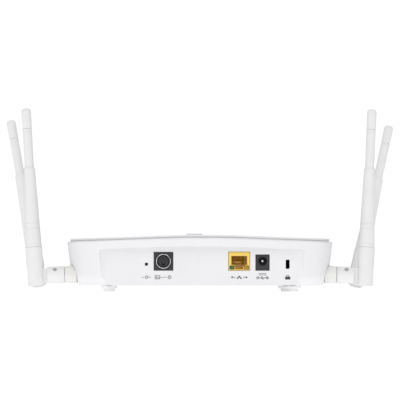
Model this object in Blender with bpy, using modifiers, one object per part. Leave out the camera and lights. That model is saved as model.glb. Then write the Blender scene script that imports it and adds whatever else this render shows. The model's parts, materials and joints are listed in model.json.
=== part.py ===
"""Desktop wireless access point with four folding antennas, built piece by piece.

Lengths are in metres and +Z is up. The socket panel faces -Y. The origin is the middle of the
case's flat underside. A piece that fits another takes its size from the other's values and a
named clearance, so one changed size carries its neighbours with it.
"""

import math
from dataclasses import dataclass

import bmesh
import bpy
from mathutils import Matrix, Vector

MM = 0.001
GAP = 0.3 * MM  # left between faces that touch
RUN = 0.35 * MM  # radial clearance of a pin or shank in its hole
MERGE = 0.00001
ROUND = 16  # sides of an ordinary round piece
SMALL_ROUND = 10  # sides of a small one

# Case
CASE_WIDTH = 205.5 * MM  # across the rim
CASE_DEPTH = 126 * MM
CORNER_POWER = 3.8  # superellipse exponent of the plan: 2 is an ellipse, large is a box
PLAN_POINTS = 48
FOOT_HEIGHT = 4.9 * MM
RIM_HEIGHT = 36.1 * MM  # underside to rim, at its highest line
RIM_ARCH = 2.8 * MM  # how far the rim falls from the middle to each side
ARCH_REACH = 64 * MM  # distance from the middle over which it does most of its fall
WALL = 2.4 * MM
FLOOR = 2.4 * MM
RIM_BAND = 3.6 * MM  # wall thickness in the band just below the rim
RIM_BAND_HEIGHT = 7 * MM
DRAFT = 0.13  # how far a wall leans out per unit of height
EDGE_HEIGHT = 8.5 * MM  # rounded bottom edge
EDGE_INSET = 10 * MM
EDGE_STEPS = 4

# Socket panel, recessed into the side that faces -Y
PANEL_WIDTH = CASE_WIDTH - 60.5 * MM  # flat part
PANEL_CURVE = 6.0 * MM  # radius that carries the panel round into the recess's side walls
PANEL_CURVE_STEPS = 4
PANEL_RECESS = 11 * MM
PANEL_TOP = RIM_HEIGHT - 6.6 * MM  # underside to the recess's top edge, at the middle
PANEL_WALL = 2.2 * MM

# Cover
COVER_WALL = 2.2 * MM
COVER_GROOVE = 0.7 * MM  # shadow gap between rim and cover
COVER_INSET = 2.6 * MM  # cover's edge to the rim's outer edge
COVER_EDGE = 1.4 * MM
COVER_CROWN = 0.6 * MM
SKIRT_DROP = 3 * MM
SKIRT_WALL = 1.6 * MM
LENS_SIZE = (12 * MM, 5.5 * MM)
LENS_AT = (-5 * MM, -34 * MM)
LENS_PROUD = 0.8 * MM

# Flat land in the middle of the underside for a wall bracket, marked by a groove round it
LAND_SIZE = (CASE_WIDTH - 115.5 * MM, CASE_DEPTH - 66 * MM)
LAND_GROOVE = (1.0 * MM, 0.6 * MM)  # width and depth

# Feet, screws and the posts that they hold
FOOT_AT = (CASE_WIDTH / 2 - 32.5 * MM, CASE_DEPTH / 2 - 29 * MM)
FOOT_RADIUS = 6.5 * MM
FOOT_PAD_RADIUS = 4.3 * MM
FOOT_PEG_RADIUS = 1.9 * MM
POST_AT = (CASE_WIDTH / 2 - 46.25 * MM, CASE_DEPTH / 2 - 24 * MM)
POST_RADIUS = 4.6 * MM
POST_HEIGHT = 17 * MM
SCREW_RADIUS = 1.4 * MM
SCREW_HEAD_RADIUS = 2.8 * MM
SCREW_HEAD_HEIGHT = 2 * MM
SCREW_REACH = 9 * MM  # how far a case screw goes into the cover's post

# Board
BOARD_WIDTH = CASE_WIDTH - 62.5 * MM
BOARD_BACK = CASE_DEPTH / 2 - 33 * MM
BOARD_WALL = 1.6 * MM
BOARD_TOP = 11.1 * MM  # above the underside
BOARD_SCREW_AT = (BOARD_WIDTH / 2 - 6 * MM, BOARD_BACK - 5 * MM)
BOARD_PEG_AT = (BOARD_WIDTH / 2 - 6 * MM, -(CASE_DEPTH / 2 - 37 * MM))
STANDOFF_RADIUS = 3.4 * MM

# Sockets: across, face height, body depth, and place across the panel
SOCKET_PROUD = 0.3 * MM
LAN_SIZE = (16.0 * MM, 18.0 * MM, 13.8 * MM)
LAN_X = 28.3 * MM
LAN_PLUG = (12.0 * MM, 6.8 * MM)
LAN_TOP_BAR = 3.0 * MM
LAN_CAVITY = 15.0 * MM
LAN_LATCH = (6.0 * MM, 3.3 * MM)
LAN_LIGHT = (3.3 * MM, 2.4 * MM)
LAN_CONTACTS = 8
LAN_PITCH = 1.02 * MM
CONSOLE_SIZE = (14.3 * MM, 13.0 * MM, 13.6 * MM)
CONSOLE_X = -29.1 * MM
CONSOLE_RING_RADIUS = 5.6 * MM
CONSOLE_RING_WALL = 0.6 * MM
CONSOLE_CORE_RADIUS = 3.9 * MM
CONSOLE_BORE = 9.0 * MM
POWER_SIZE = (10.2 * MM, 14.0 * MM, 11.7 * MM)
POWER_X = 46.0 * MM
POWER_BORE_RADIUS = 3.2 * MM
POWER_BORE = 9.5 * MM
POWER_PIN_RADIUS = 1.0 * MM
RESET_X = -42.0 * MM
RESET_HEIGHT = 4.9 * MM  # above the board
RESET_HOLE_RADIUS = 1.25 * MM
RESET_TRAVEL = 0.8 * MM
RESET_BODY = (6.0 * MM, 4.0 * MM, 7.0 * MM)
PLUNGER_RADIUS = 1.5 * MM
LOCK_X = PANEL_WIDTH / 2 - 7.4 * MM
LOCK_HEIGHT = 16.0 * MM  # above the underside
LOCK_SLOT = (3.0 * MM, 7.0 * MM)
LOCK_PLATE = (10.0 * MM, 1.5 * MM, 13.0 * MM)

# Board parts
HEAT_SINK = (36 * MM, 36 * MM, 12 * MM)
HEAT_SINK_AT = (0.0, -10 * MM)
SINK_BASE = 2.5 * MM
SINK_FIN = 1.4 * MM
SINK_FINS = 7
SHIELD = (34 * MM, 26 * MM, 4.0 * MM)
SHIELD_AT = (40 * MM, 10 * MM)
SHIELD_EDGE = 0.8 * MM

# Antennas. Distances along a connector are counted from the hinge, towards the case.
CONNECTOR_SLOPE = math.radians(1.9)  # how far a connector dips outwards
HINGE_X = CASE_WIDTH / 2 + 23.9 * MM
HINGE_Y = CASE_DEPTH / 2 - 33 * MM
HINGE_HEIGHT = 7.5 * MM  # above the underside
BARREL_RADIUS = 6.4 * MM
BARREL_FACE = 9.2 * MM
BARREL_LENGTH = 13.2 * MM
TONGUE_WALL = 4.6 * MM
TONGUE_RADIUS = 5.4 * MM
NUT_RADIUS = 6.65 * MM
NUT_LENGTH = 7.6 * MM
NUT_RIBS = 20
NUT_RIB_DEPTH = 0.45 * MM
THREAD_RADIUS = 3.05 * MM
NECK_LENGTH = 3.4 * MM
JACK_FLANGE_RADIUS = 6.0 * MM
JACK_FLANGE = 1.0 * MM
JACK_THREAD = 4.0 * MM  # threaded end, outside the flange
JACK_INSIDE = 8.0 * MM
JACK_TAIL_RADIUS = 2.0 * MM
SEAT_BACK = 6.0 * MM  # material behind a connector's seat
SEAT_RADIUS = 8.6 * MM
PIN_RADIUS = 1.4 * MM
FORK_RADIUS = 6.4 * MM
FORK_FOOT = 8.1 * MM  # hinge to the fork's end
FORK_LENGTH = 29.8 * MM
FORK_INNER_CORNER = 4.2 * MM
FORK_OUTER_CORNER = 2.6 * MM
FORK_SLOT_TOP = 7.0 * MM
SPIGOT_RADIUS = 3.4 * MM
SPIGOT = 6.0 * MM
MAST_COLLAR = (36.3 * MM, 40.1 * MM)  # bottom and top of the collar, above the hinge
MAST_STEP = 82.5 * MM
MAST_END = 112.6 * MM
MAST_TIP = 128.2 * MM
MAST_RADII = {
    "foot": FORK_RADIUS - 0.2 * MM,
    "collar": 5.6 * MM,
    "shoulder": 4.2 * MM,
    "neck": 3.5 * MM,
    "top": 3.6 * MM,
}
TIP_RADIUS = 3.7 * MM
LEAD_RADIUS = 0.9 * MM

UNDERSIDE = 0.0
PANEL_Y = -CASE_DEPTH / 2 + PANEL_RECESS
PANEL_BACK = PANEL_Y + PANEL_WALL
BOARD_Z = UNDERSIDE + BOARD_TOP
BOARD_FRONT = PANEL_BACK + 1.0 * MM
SOCKET_Z = BOARD_Z + GAP
SKY = UNDERSIDE + RIM_HEIGHT + 20 * MM  # above everything in the case


@dataclass(frozen=True)
class Antenna:
    """One antenna: its side (-1 left, +1 right) and row (-1 rear, +1 front), and how it rests.

    lean is its angle from upright, away from the case, and swivel is how far it is turned about
    its connector towards the front.
    """

    name: str
    side: int
    row: int
    lean: float
    swivel: float = 0.0

    @property
    def hinge(self):
        return Vector((self.side * HINGE_X, self.row * HINGE_Y, UNDERSIDE + HINGE_HEIGHT))

    def turned_out(self):
        """Frame at the hinge whose X points away from the case."""
        half_turn = 0.0 if self.side > 0 else math.pi
        return Matrix.Translation(self.hinge) @ Matrix.Rotation(half_turn, 4, "Z")

    def connector_frame(self):
        """Frame at the hinge whose Z runs out along the connector."""
        return self.turned_out() @ Matrix.Rotation(math.radians(90) + CONNECTOR_SLOPE, 4, "Y")

    def barrel_frame(self):
        """The connector's frame turned by the rest swivel, so that its Y is the hinge's axis."""
        return self.connector_frame() @ Matrix.Rotation(-self.side * self.swivel, 4, "Z")

    def mast_frame(self):
        """Frame whose Z runs up the antenna at rest and whose Y is the hinge's axis."""
        fold = math.radians(90) + CONNECTOR_SLOPE - self.lean
        return self.barrel_frame() @ Matrix.Rotation(-fold, 4, "Y")


ANTENNAS = (
    Antenna("rear_left", -1, -1, math.radians(3.3)),
    Antenna("rear_right", 1, -1, math.radians(2.45)),
    Antenna("front_left", -1, 1, math.radians(10.3), math.radians(9)),
    Antenna("front_right", 1, 1, math.radians(13.4), math.radians(13)),
)


# ---------------------------------------------------------------- scene, materials, basic shapes


def empty_scene():
    """Remove everything that the file came with."""
    for group in (bpy.data.objects, bpy.data.meshes, bpy.data.curves, bpy.data.materials):
        for item in list(group):
            group.remove(item)


def collection(name):
    group = bpy.data.collections.get(name)
    if group is None:
        group = bpy.data.collections.new(name)
        bpy.context.scene.collection.children.link(group)
    return group


def material(name, colour, roughness, metallic=0.0):
    """A Principled material; colour is linear RGB."""
    found = bpy.data.materials.get(name)
    if found:
        return found
    made = bpy.data.materials.new(name)
    made.use_nodes = True
    shader = made.node_tree.nodes["Principled BSDF"]
    shader.inputs["Base Color"].default_value = (*colour, 1)
    shader.inputs["Roughness"].default_value = roughness
    shader.inputs["Metallic"].default_value = metallic
    return made


def white_plastic():
    return material("white_plastic", (0.80, 0.80, 0.81), 0.42)


def antenna_plastic():
    return material("antenna_plastic", (0.78, 0.78, 0.78), 0.5)


def dark_plastic():
    return material("dark_plastic", (0.03, 0.03, 0.032), 0.5)


def nickel():
    return material("nickel", (0.66, 0.65, 0.62), 0.3, 1.0)


def steel():
    return material("steel", (0.6, 0.6, 0.62), 0.35, 1.0)


def new_object(name, bm):
    """Turn a bmesh into a smooth-shaded object with its faces pointing out."""
    bmesh.ops.recalc_face_normals(bm, faces=bm.faces)
    mesh = bpy.data.meshes.new(name)
    bm.to_mesh(mesh)
    bm.free()
    mesh.shade_smooth()
    mesh.set_sharp_from_angle(angle=math.radians(35))
    made = bpy.data.objects.new(name, mesh)
    collection("cutters").objects.link(made)
    made.hide_render = True
    made.display_type = "WIRE"
    return made


def as_part(made, finish, frame=None):
    """Move a finished shape from the cutters to the access point's own collection."""
    collection("cutters").objects.unlink(made)
    collection("access_point").objects.link(made)
    made.hide_render = False
    made.display_type = "TEXTURED"
    made.data.materials.clear()
    made.data.materials.append(finish)
    if frame is not None:
        made.matrix_world = frame
    return made


def block(name, low, high):
    """Box between two corners."""
    low, high = Vector(low), Vector(high)
    size = high - low
    bm = bmesh.new()
    bmesh.ops.create_cube(bm, size=1.0)
    bmesh.ops.scale(bm, vec=size, verts=bm.verts)
    bmesh.ops.translate(bm, vec=(low + high) / 2, verts=bm.verts)
    return new_object(name, bm)


def rod(name, radius, bottom, top, centre=(0.0, 0.0), sides=ROUND, end_radius=None):
    """Upright cylinder, or a cone when end_radius is given."""
    bm = bmesh.new()
    bmesh.ops.create_cone(
        bm,
        cap_ends=True,
        segments=sides,
        radius1=radius,
        radius2=radius if end_radius is None else end_radius,
        depth=top - bottom,
    )
    bmesh.ops.translate(bm, vec=(centre[0], centre[1], (bottom + top) / 2), verts=bm.verts)
    return new_object(name, bm)


def cross_rod(name, radius, start, end, x, z, sides=ROUND):
    """Cylinder along Y, from start to end."""
    bm = bmesh.new()
    bmesh.ops.create_cone(
        bm, cap_ends=True, segments=sides, radius1=radius, radius2=radius, depth=end - start
    )
    quarter = Matrix.Rotation(math.radians(90), 3, "X")
    bmesh.ops.rotate(bm, cent=(0, 0, 0), matrix=quarter, verts=bm.verts)
    bmesh.ops.translate(bm, vec=(x, (start + end) / 2, z), verts=bm.verts)
    return new_object(name, bm)


def turned(name, profile, sides=ROUND):
    """Solid of revolution about Z. The profile of (radius, height) runs down its outer side."""
    mesh = bpy.data.meshes.new(name)
    points = [(radius, 0.0, height) for radius, height in profile]
    mesh.from_pydata(points, [(i, i + 1) for i in range(len(points) - 1)], [])
    made = bpy.data.objects.new(name, mesh)
    collection("cutters").objects.link(made)
    made.hide_render = True
    made.display_type = "WIRE"
    screw = made.modifiers.new("turn", "SCREW")
    screw.steps = screw.render_steps = sides
    screw.use_merge_vertices = True
    screw.merge_threshold = MERGE
    screw.use_smooth_shade = True
    return made


def loft(name, rings):
    """Closed body through rings of equal length, with a flat cap at each end."""
    bm = bmesh.new()
    loops = [[bm.verts.new(point) for point in ring] for ring in rings]
    count = len(loops[0])
    for lower, upper in zip(loops, loops[1:]):
        for i in range(count):
            j = (i + 1) % count
            bm.faces.new((lower[i], lower[j], upper[j], upper[i]))
    bm.faces.new(list(reversed(loops[0])))
    bm.faces.new(loops[-1])
    return new_object(name, bm)


def join(target, tool, operation):
    """Cut, unite or intersect target with tool, which stays beside it as a wire."""
    change = target.modifiers.new(operation.lower(), "BOOLEAN")
    change.operation = operation
    change.solver = "EXACT"
    change.object = tool
    return target


def cut(target, *tools):
    for tool in tools:
        join(target, tool, "DIFFERENCE")
    return target


def unite(target, *tools):
    for tool in tools:
        join(target, tool, "UNION")
    return target


def tube_along(name, points, radius, finish):
    """Round cable through a few points, on a smooth curve, with closed ends."""
    smooth = catmull_rom(points, 3)
    curve = bpy.data.curves.new(name, "CURVE")
    curve.dimensions = "3D"
    curve.bevel_depth = radius
    curve.bevel_resolution = 2
    curve.use_fill_caps = True
    spline = curve.splines.new("POLY")
    spline.points.add(len(smooth) - 1)
    for knot, point in zip(spline.points, smooth):
        knot.co = (*point, 1.0)
    made = bpy.data.objects.new(name, curve)
    collection("access_point").objects.link(made)
    curve.materials.append(finish)
    return made


def catmull_rom(points, steps):
    """Points on the smooth curve through the given ones."""
    knots = [Vector(p) for p in points]
    ends = [2 * knots[0] - knots[1], *knots, 2 * knots[-1] - knots[-2]]
    found = []
    for before, start, end, after in zip(ends, ends[1:], ends[2:], ends[3:]):
        for step in range(steps):
            t = step / steps
            found.append(
                0.5
                * (
                    2 * start
                    + (end - before) * t
                    + (2 * before - 5 * start + 4 * end - after) * t * t
                    + (3 * start - before - 3 * end + after) * t * t * t
                )
            )
    return found + [knots[-1]]


# ---------------------------------------------------------------- case outlines


def plan_point(turn, inset):
    """Point of the case's outline seen from above, a superellipse drawn in by inset."""
    power = 2 / CORNER_POWER
    across, along = math.cos(turn), math.sin(turn)
    x = (CASE_WIDTH / 2 - inset) * abs(across) ** power
    y = (CASE_DEPTH / 2 - inset) * abs(along) ** power
    return math.copysign(x, across), math.copysign(y, along)


def plan_turns():
    return [2 * math.pi * (i + 0.5) / PLAN_POINTS for i in range(PLAN_POINTS)]


def plan(inset):
    """The case's outline seen from above."""
    return [plan_point(turn, inset) for turn in plan_turns()]


def arch_fall(x):
    """How far the rim and what is parallel to it have fallen at a distance from the middle."""
    return RIM_ARCH * (1 - math.exp(-((x / ARCH_REACH) ** 2)))


def rim_z(x):
    """Height of the rim, an arch across the case's width."""
    return UNDERSIDE + RIM_HEIGHT - arch_fall(x)


def side_height():
    """Height of the rim above the underside at the case's sides."""
    return RIM_HEIGHT - arch_fall(CASE_WIDTH / 2)


def wall_inset(height):
    """How far the outer wall stands in from the rim's outline at a height above the underside."""
    if height >= EDGE_HEIGHT:
        return DRAFT * (side_height() - height)
    start = DRAFT * (side_height() - EDGE_HEIGHT)
    rise = (EDGE_HEIGHT - height) / EDGE_HEIGHT
    return start + EDGE_INSET * (1 - math.sqrt(1 - rise * rise))


def wall_heights():
    """Heights at which the wall's rings are drawn, closer together round the bottom edge."""
    turns = [math.pi / 2 * i / EDGE_STEPS for i in range(EDGE_STEPS + 1)]
    edge = [EDGE_HEIGHT * (1 - math.cos(turn)) for turn in turns]
    return edge + [SKY - UNDERSIDE]


def rim_ring(inset, lift):
    """Ring that follows the rim, lift above it and inset from the wall's outside there."""
    ring = []
    for turn in plan_turns():
        rough = plan_point(turn, inset)
        height = rim_z(rough[0]) + lift - UNDERSIDE
        x, y = plan_point(turn, inset + wall_inset(height))
        ring.append((x, y, rim_z(x) + lift))
    return ring


def case_envelope():
    """Outside of the tub, standing past the rim."""
    rings = [[(x, y, UNDERSIDE + h) for x, y in plan(wall_inset(h))] for h in wall_heights()]
    return loft("case_envelope", rings)


def case_hollow():
    """Inside of the tub: the same wall, drawn in by its thickness, with a thicker rim band."""
    band_foot = side_height() - RIM_BAND_HEIGHT
    step = RIM_BAND - WALL
    rings = []
    for h in wall_heights()[:-1]:
        rings.append([(x, y, UNDERSIDE + FLOOR + h) for x, y in plan(wall_inset(h) + WALL)])
    for h, wall in ((band_foot - step, WALL), (band_foot, RIM_BAND), (SKY - UNDERSIDE, RIM_BAND)):
        rings.append([(x, y, UNDERSIDE + h) for x, y in plan(wall_inset(h) + wall)])
    return loft("case_hollow", rings)


def panel_outline(half_width, y, grow):
    """Outline of the recess in the XZ plane: open below, with an arched top edge."""
    low = UNDERSIDE - 10 * MM
    points = [(half_width, y, low), (-half_width, y, low)]
    steps = 12
    for i in range(steps + 1):
        x = -half_width + 2 * half_width * i / steps
        points.append((x, y, UNDERSIDE + PANEL_TOP - arch_fall(x) + grow))
    return points


def panel_recess(grow):
    """Space in front of the socket panel, made larger by grow to leave a wall behind it."""
    flat, radius = PANEL_WIDTH / 2, PANEL_CURVE + grow
    rings = [panel_outline(flat + radius, -CASE_DEPTH / 2 - 6 * MM, grow)]
    for i in range(PANEL_CURVE_STEPS + 1):
        turn = math.pi / 2 * i / PANEL_CURVE_STEPS
        half = flat + radius * math.cos(turn)
        rings.append(panel_outline(half, PANEL_Y - PANEL_CURVE + radius * math.sin(turn), grow))
    return loft(f"panel_recess_{grow * 1000:.0f}", rings)


def panel_foot(name, shrink):
    """Block that carries the flat panel down to the underside, past the rounded edge."""
    half = PANEL_WIDTH / 2 - shrink
    bottom = UNDERSIDE + (FLOOR if shrink else 0.0)
    top = UNDERSIDE + PANEL_TOP - RIM_ARCH - 2 * MM
    return block(name, (-half, PANEL_Y + shrink, bottom), (half, PANEL_Y + 22 * MM, top))


def above_rim():
    """Everything above the rim's surface."""
    reach, steps = CASE_WIDTH * 0.6, 20
    rings = []
    for y in (-CASE_DEPTH, CASE_DEPTH):
        xs = [-reach + 2 * reach * i / steps for i in range(steps + 1)]
        rings.append([(x, y, rim_z(x)) for x in xs] + [(reach, y, SKY * 2), (-reach, y, SKY * 2)])
    return loft("above_rim", rings)


def rounded_slot(name, width, height, start, end, x, z):
    """Upright slot with round ends, cut along Y."""
    radius = width / 2
    reach = height / 2 - radius
    points = []
    for i in range(SMALL_ROUND):
        turn = math.pi * i / (SMALL_ROUND - 1)
        points.append((radius * math.cos(turn), reach + radius * math.sin(turn)))
    points += [(-across, -up) for across, up in points]
    return loft(name, [[(x + a, y, z + b) for a, b in points] for y in (start, end)])


# ---------------------------------------------------------------- base, cover and what holds them


def corners(place):
    """The four mirrored copies of a place, with a name for each."""
    x, y = place
    return {
        "rear_left": (-x, -y),
        "rear_right": (x, -y),
        "front_left": (-x, y),
        "front_right": (x, y),
    }


def along_connector(name, antenna, radius, inner, outer, sides=ROUND):
    """Cylinder on a connector's axis, between two distances from the hinge."""
    made = rod(name, radius, -inner, -outer, sides=sides)
    made.matrix_world = antenna.connector_frame()
    return made


def seat_distance():
    """Distance from the hinge to a connector's seat in the case wall."""
    return BARREL_FACE + BARREL_LENGTH + GAP + NUT_LENGTH + GAP + JACK_FLANGE + GAP


def base_shell():
    envelope = case_envelope()
    hollow = case_hollow()
    unite(envelope, panel_foot("panel_foot", 0.0))
    unite(hollow, panel_foot("panel_foot_hollow", PANEL_WALL))
    cut(hollow, panel_recess(PANEL_WALL))
    cut(envelope, panel_recess(0.0))
    floor_z = UNDERSIDE
    for name, (x, y) in corners(POST_AT).items():
        cut(hollow, rod(f"post_{name}", POST_RADIUS, floor_z, UNDERSIDE + POST_HEIGHT, (x, y)))
    standoff_top = BOARD_Z - BOARD_WALL - GAP
    for place in (BOARD_SCREW_AT, BOARD_PEG_AT):
        for side in (-1, 1):
            spot = (side * place[0], place[1])
            cut(hollow, rod("standoff", STANDOFF_RADIUS, floor_z, standoff_top, spot, SMALL_ROUND))
    for antenna in ANTENNAS:
        seat = seat_distance()
        name = f"seat_back_{antenna.name}"
        cut(hollow, along_connector(name, antenna, SEAT_RADIUS, seat + SEAT_BACK, seat - 12 * MM))
    shell = cut(envelope, hollow, above_rim())
    for antenna in ANTENNAS:
        seat = seat_distance()
        pocket = NUT_RADIUS + 0.55 * MM
        bore = THREAD_RADIUS + RUN
        name = f"jack_hole_{antenna.name}"
        cut(
            shell,
            along_connector(f"pocket_{antenna.name}", antenna, pocket, seat, seat - 14 * MM),
            along_connector(name, antenna, bore, seat + 14 * MM, seat - 2 * MM, SMALL_ROUND),
        )
    cut(shell, *socket_openings(), *underside_holes(), land_groove())
    shell.name = "base_shell"
    return as_part(shell, white_plastic())


def socket_openings():
    """Holes through the panel for the sockets, the reset pin and the lock."""
    start, end = PANEL_Y - 3 * MM, PANEL_BACK + 2 * MM
    tools = []
    for name, size, x in (
        ("lan", LAN_SIZE, LAN_X),
        ("console", CONSOLE_SIZE, CONSOLE_X),
        ("power", POWER_SIZE, POWER_X),
    ):
        half = size[0] / 2 + GAP
        top = SOCKET_Z + size[2] + GAP
        tools.append(block(f"{name}_hole", (x - half, start, SOCKET_Z - GAP), (x + half, end, top)))
    reset_z = BOARD_Z + RESET_HEIGHT
    tools.append(cross_rod("reset_hole", RESET_HOLE_RADIUS, start, end, RESET_X, reset_z, SMALL_ROUND))
    lock_z = UNDERSIDE + LOCK_HEIGHT
    tools.append(rounded_slot("lock_hole", *LOCK_SLOT, start, end, LOCK_X, lock_z))
    return tools


def land_groove():
    """Rectangular groove round the bracket's land."""
    half_width, half_depth = LAND_SIZE[0] / 2, LAND_SIZE[1] / 2
    wide, deep = LAND_GROOVE
    below, top = UNDERSIDE - 1 * MM, UNDERSIDE + deep
    groove = block(
        "land_groove",
        (-half_width - wide, -half_depth - wide, below),
        (half_width + wide, half_depth + wide, top),
    )
    above = top + 1 * MM
    land = block("land", (-half_width, -half_depth, below - 1 * MM), (half_width, half_depth, above))
    return cut(groove, land)


def underside_holes():
    """Holes for the feet's pegs, the case screws and the board screws."""
    tools = []
    below = UNDERSIDE - 2 * MM
    for name, spot in corners(FOOT_AT).items():
        radius, top = FOOT_PEG_RADIUS + RUN, UNDERSIDE + FLOOR + 2 * MM
        tools.append(rod(f"peg_hole_{name}", radius, below, top, spot, SMALL_ROUND))
    for name, spot in corners(POST_AT).items():
        top = UNDERSIDE + POST_HEIGHT + 2 * MM
        tools.append(rod(f"shank_hole_{name}", SCREW_RADIUS + RUN, below, top, spot, SMALL_ROUND))
        head_radius = SCREW_HEAD_RADIUS + RUN
        tools.append(rod(f"head_hole_{name}", head_radius, below, screw_seat(), spot, SMALL_ROUND))
    for side in (-1, 1):
        spot = (side * BOARD_SCREW_AT[0], BOARD_SCREW_AT[1])
        foot_z, radius = UNDERSIDE + 1.4 * MM, SCREW_RADIUS + RUN
        tools.append(rod("board_screw_hole", radius, foot_z, BOARD_Z, spot, SMALL_ROUND))
    return tools


def screw_seat():
    """Height at which a case screw's head bears in its counterbore."""
    return UNDERSIDE + POST_HEIGHT - 8 * MM


def cover_rings():
    """Rings over the cover's closed surface, from inside the crown, round its edge, to outside."""
    skirt_out = RIM_BAND + 0.4 * MM
    skirt_in = skirt_out + SKIRT_WALL
    lip = COVER_GROOVE + COVER_EDGE
    inner_lift = lip - COVER_WALL
    steps = [
        (44 * MM, inner_lift + COVER_CROWN),
        (20 * MM, inner_lift + 0.7 * COVER_CROWN),
        (skirt_in, inner_lift + 0.1 * COVER_CROWN),
        (skirt_in, -SKIRT_DROP),
        (skirt_out, -SKIRT_DROP),
        (skirt_out, COVER_GROOVE),
        (COVER_INSET, COVER_GROOVE),
        (COVER_INSET, lip - 0.7 * MM),
        (COVER_INSET + 0.7 * MM, lip),
        (8 * MM, lip + 0.35 * COVER_CROWN),
        (20 * MM, lip + 0.7 * COVER_CROWN),
        (44 * MM, lip + COVER_CROWN),
    ]
    return [rim_ring(inset, lift) for inset, lift in steps]


def cover_top(x):
    """Height of the cover's outside, away from its edge."""
    return rim_z(x) + COVER_GROOVE + COVER_EDGE + COVER_CROWN


def lens_outline(grow):
    """The light's lens, seen from above, with rounded ends."""
    half_width, half_depth = LENS_SIZE[0] / 2 + grow, LENS_SIZE[1] / 2 + grow
    reach = half_width - half_depth
    points = []
    for i in range(SMALL_ROUND):
        turn = -math.pi / 2 + math.pi * i / (SMALL_ROUND - 1)
        points.append((reach + half_depth * math.cos(turn), half_depth * math.sin(turn)))
    points += [(-x, -y) for x, y in points]
    return [(LENS_AT[0] + x, LENS_AT[1] + y) for x, y in points]


def top_cover():
    cover = loft("top_cover", cover_rings())
    for name, spot in corners(POST_AT).items():
        foot = UNDERSIDE + POST_HEIGHT + GAP
        top = cover_top(spot[0]) - 1.2 * MM
        unite(cover, rod(f"cover_post_{name}", POST_RADIUS, foot, top, spot))
        pilot_top = foot + SCREW_REACH + 1 * MM
        pilot = rod(f"pilot_{name}", SCREW_RADIUS + RUN, foot - 1 * MM, pilot_top, spot, SMALL_ROUND)
        cut(cover, pilot)
    z = cover_top(LENS_AT[0])
    outline = lens_outline(GAP)
    window = loft("lens_window", [[(x, y, h) for x, y in outline] for h in (z - 8 * MM, z + 5 * MM)])
    cut(cover, window)
    return as_part(cover, white_plastic())


def status_lens():
    z = cover_top(LENS_AT[0])
    foot = z - COVER_WALL - 1 * MM
    rings = [[(x, y, foot) for x, y in lens_outline(0.0)]]
    rings.append([(x, y, z + LENS_PROUD - 0.3 * MM) for x, y in lens_outline(0.0)])
    rings.append([(x, y, z + LENS_PROUD) for x, y in lens_outline(-0.4 * MM)])
    return as_part(loft("status_lens", rings), material("lens", (0.62, 0.66, 0.68), 0.2))


def foot(name, spot):
    """Soft foot: a peg in the floor, a domed flange and a smaller pad."""
    top = UNDERSIDE - GAP
    ground = UNDERSIDE - FOOT_HEIGHT
    profile = [
        (0.0, top + FLOOR - 0.4 * MM),
        (FOOT_PEG_RADIUS, top + FLOOR - 0.4 * MM),
        (FOOT_PEG_RADIUS, top),
        (FOOT_RADIUS - 0.4 * MM, top),
        (FOOT_RADIUS, top - 0.5 * MM),
        (FOOT_RADIUS * 0.93, top - 1.4 * MM),
        (FOOT_RADIUS * 0.78, top - 2.1 * MM),
        (FOOT_PAD_RADIUS, top - 2.3 * MM),
        (FOOT_PAD_RADIUS, ground + 0.5 * MM),
        (FOOT_PAD_RADIUS - 0.5 * MM, ground),
        (0.0, ground),
    ]
    rubber = material("foot_rubber", (0.72, 0.72, 0.72), 0.6)
    return as_part(turned(f"foot_{name}", profile), rubber, Matrix.Translation((*spot, 0.0)))


def screw(name, spot, seat, reach, up):
    """Pan-head screw whose head bears at seat; up is 1 when it is driven upwards, else -1."""
    head = SCREW_HEAD_RADIUS
    profile = [
        (0.0, reach),
        (SCREW_RADIUS * 0.5, reach),
        (SCREW_RADIUS, reach - 1.2 * MM),
        (SCREW_RADIUS, 0.0),
        (head, 0.0),
        (head, -SCREW_HEAD_HEIGHT * 0.55),
        (head * 0.7, -SCREW_HEAD_HEIGHT),
        (SCREW_RADIUS * 0.6, -SCREW_HEAD_HEIGHT),
        (0.0, -SCREW_HEAD_HEIGHT * 0.45),
    ]
    made = turned(name, profile, SMALL_ROUND)
    turn = Matrix.Rotation(0.0 if up > 0 else math.pi, 4, "X")
    return as_part(made, steel(), Matrix.Translation((*spot, seat)) @ turn)


# ---------------------------------------------------------------- board and sockets


def main_board():
    half, bottom = BOARD_WIDTH / 2, BOARD_Z - BOARD_WALL
    board = block("main_board", (-half, BOARD_FRONT, bottom), (half, BOARD_BACK, BOARD_Z))
    below, above = BOARD_Z - 5 * MM, BOARD_Z + 5 * MM
    for side in (-1, 1):
        post = (side * POST_AT[0], -POST_AT[1])
        cut(board, rod("board_post_hole", POST_RADIUS + 2 * RUN, below, above, post))
        spot = (side * BOARD_SCREW_AT[0], BOARD_SCREW_AT[1])
        cut(board, rod("board_hole", SCREW_RADIUS + RUN, below, above, spot, SMALL_ROUND))
    clear = LOCK_PLATE[0] / 2 + 1 * MM
    notch_back = PANEL_BACK + GAP + LOCK_PLATE[1] + 1 * MM
    notch = block("lock_notch", (LOCK_X - clear, PANEL_BACK, below), (LOCK_X + clear, notch_back, above))
    cut(board, notch)
    return as_part(board, material("board_green", (0.02, 0.13, 0.06), 0.45))


def board_screws():
    for name, side in (("left", -1), ("right", 1)):
        spot = (side * BOARD_SCREW_AT[0], BOARD_SCREW_AT[1])
        screw(f"board_screw_{name}", spot, BOARD_Z + GAP, 7 * MM, -1)


def socket_face():
    return PANEL_Y - SOCKET_PROUD


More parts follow.
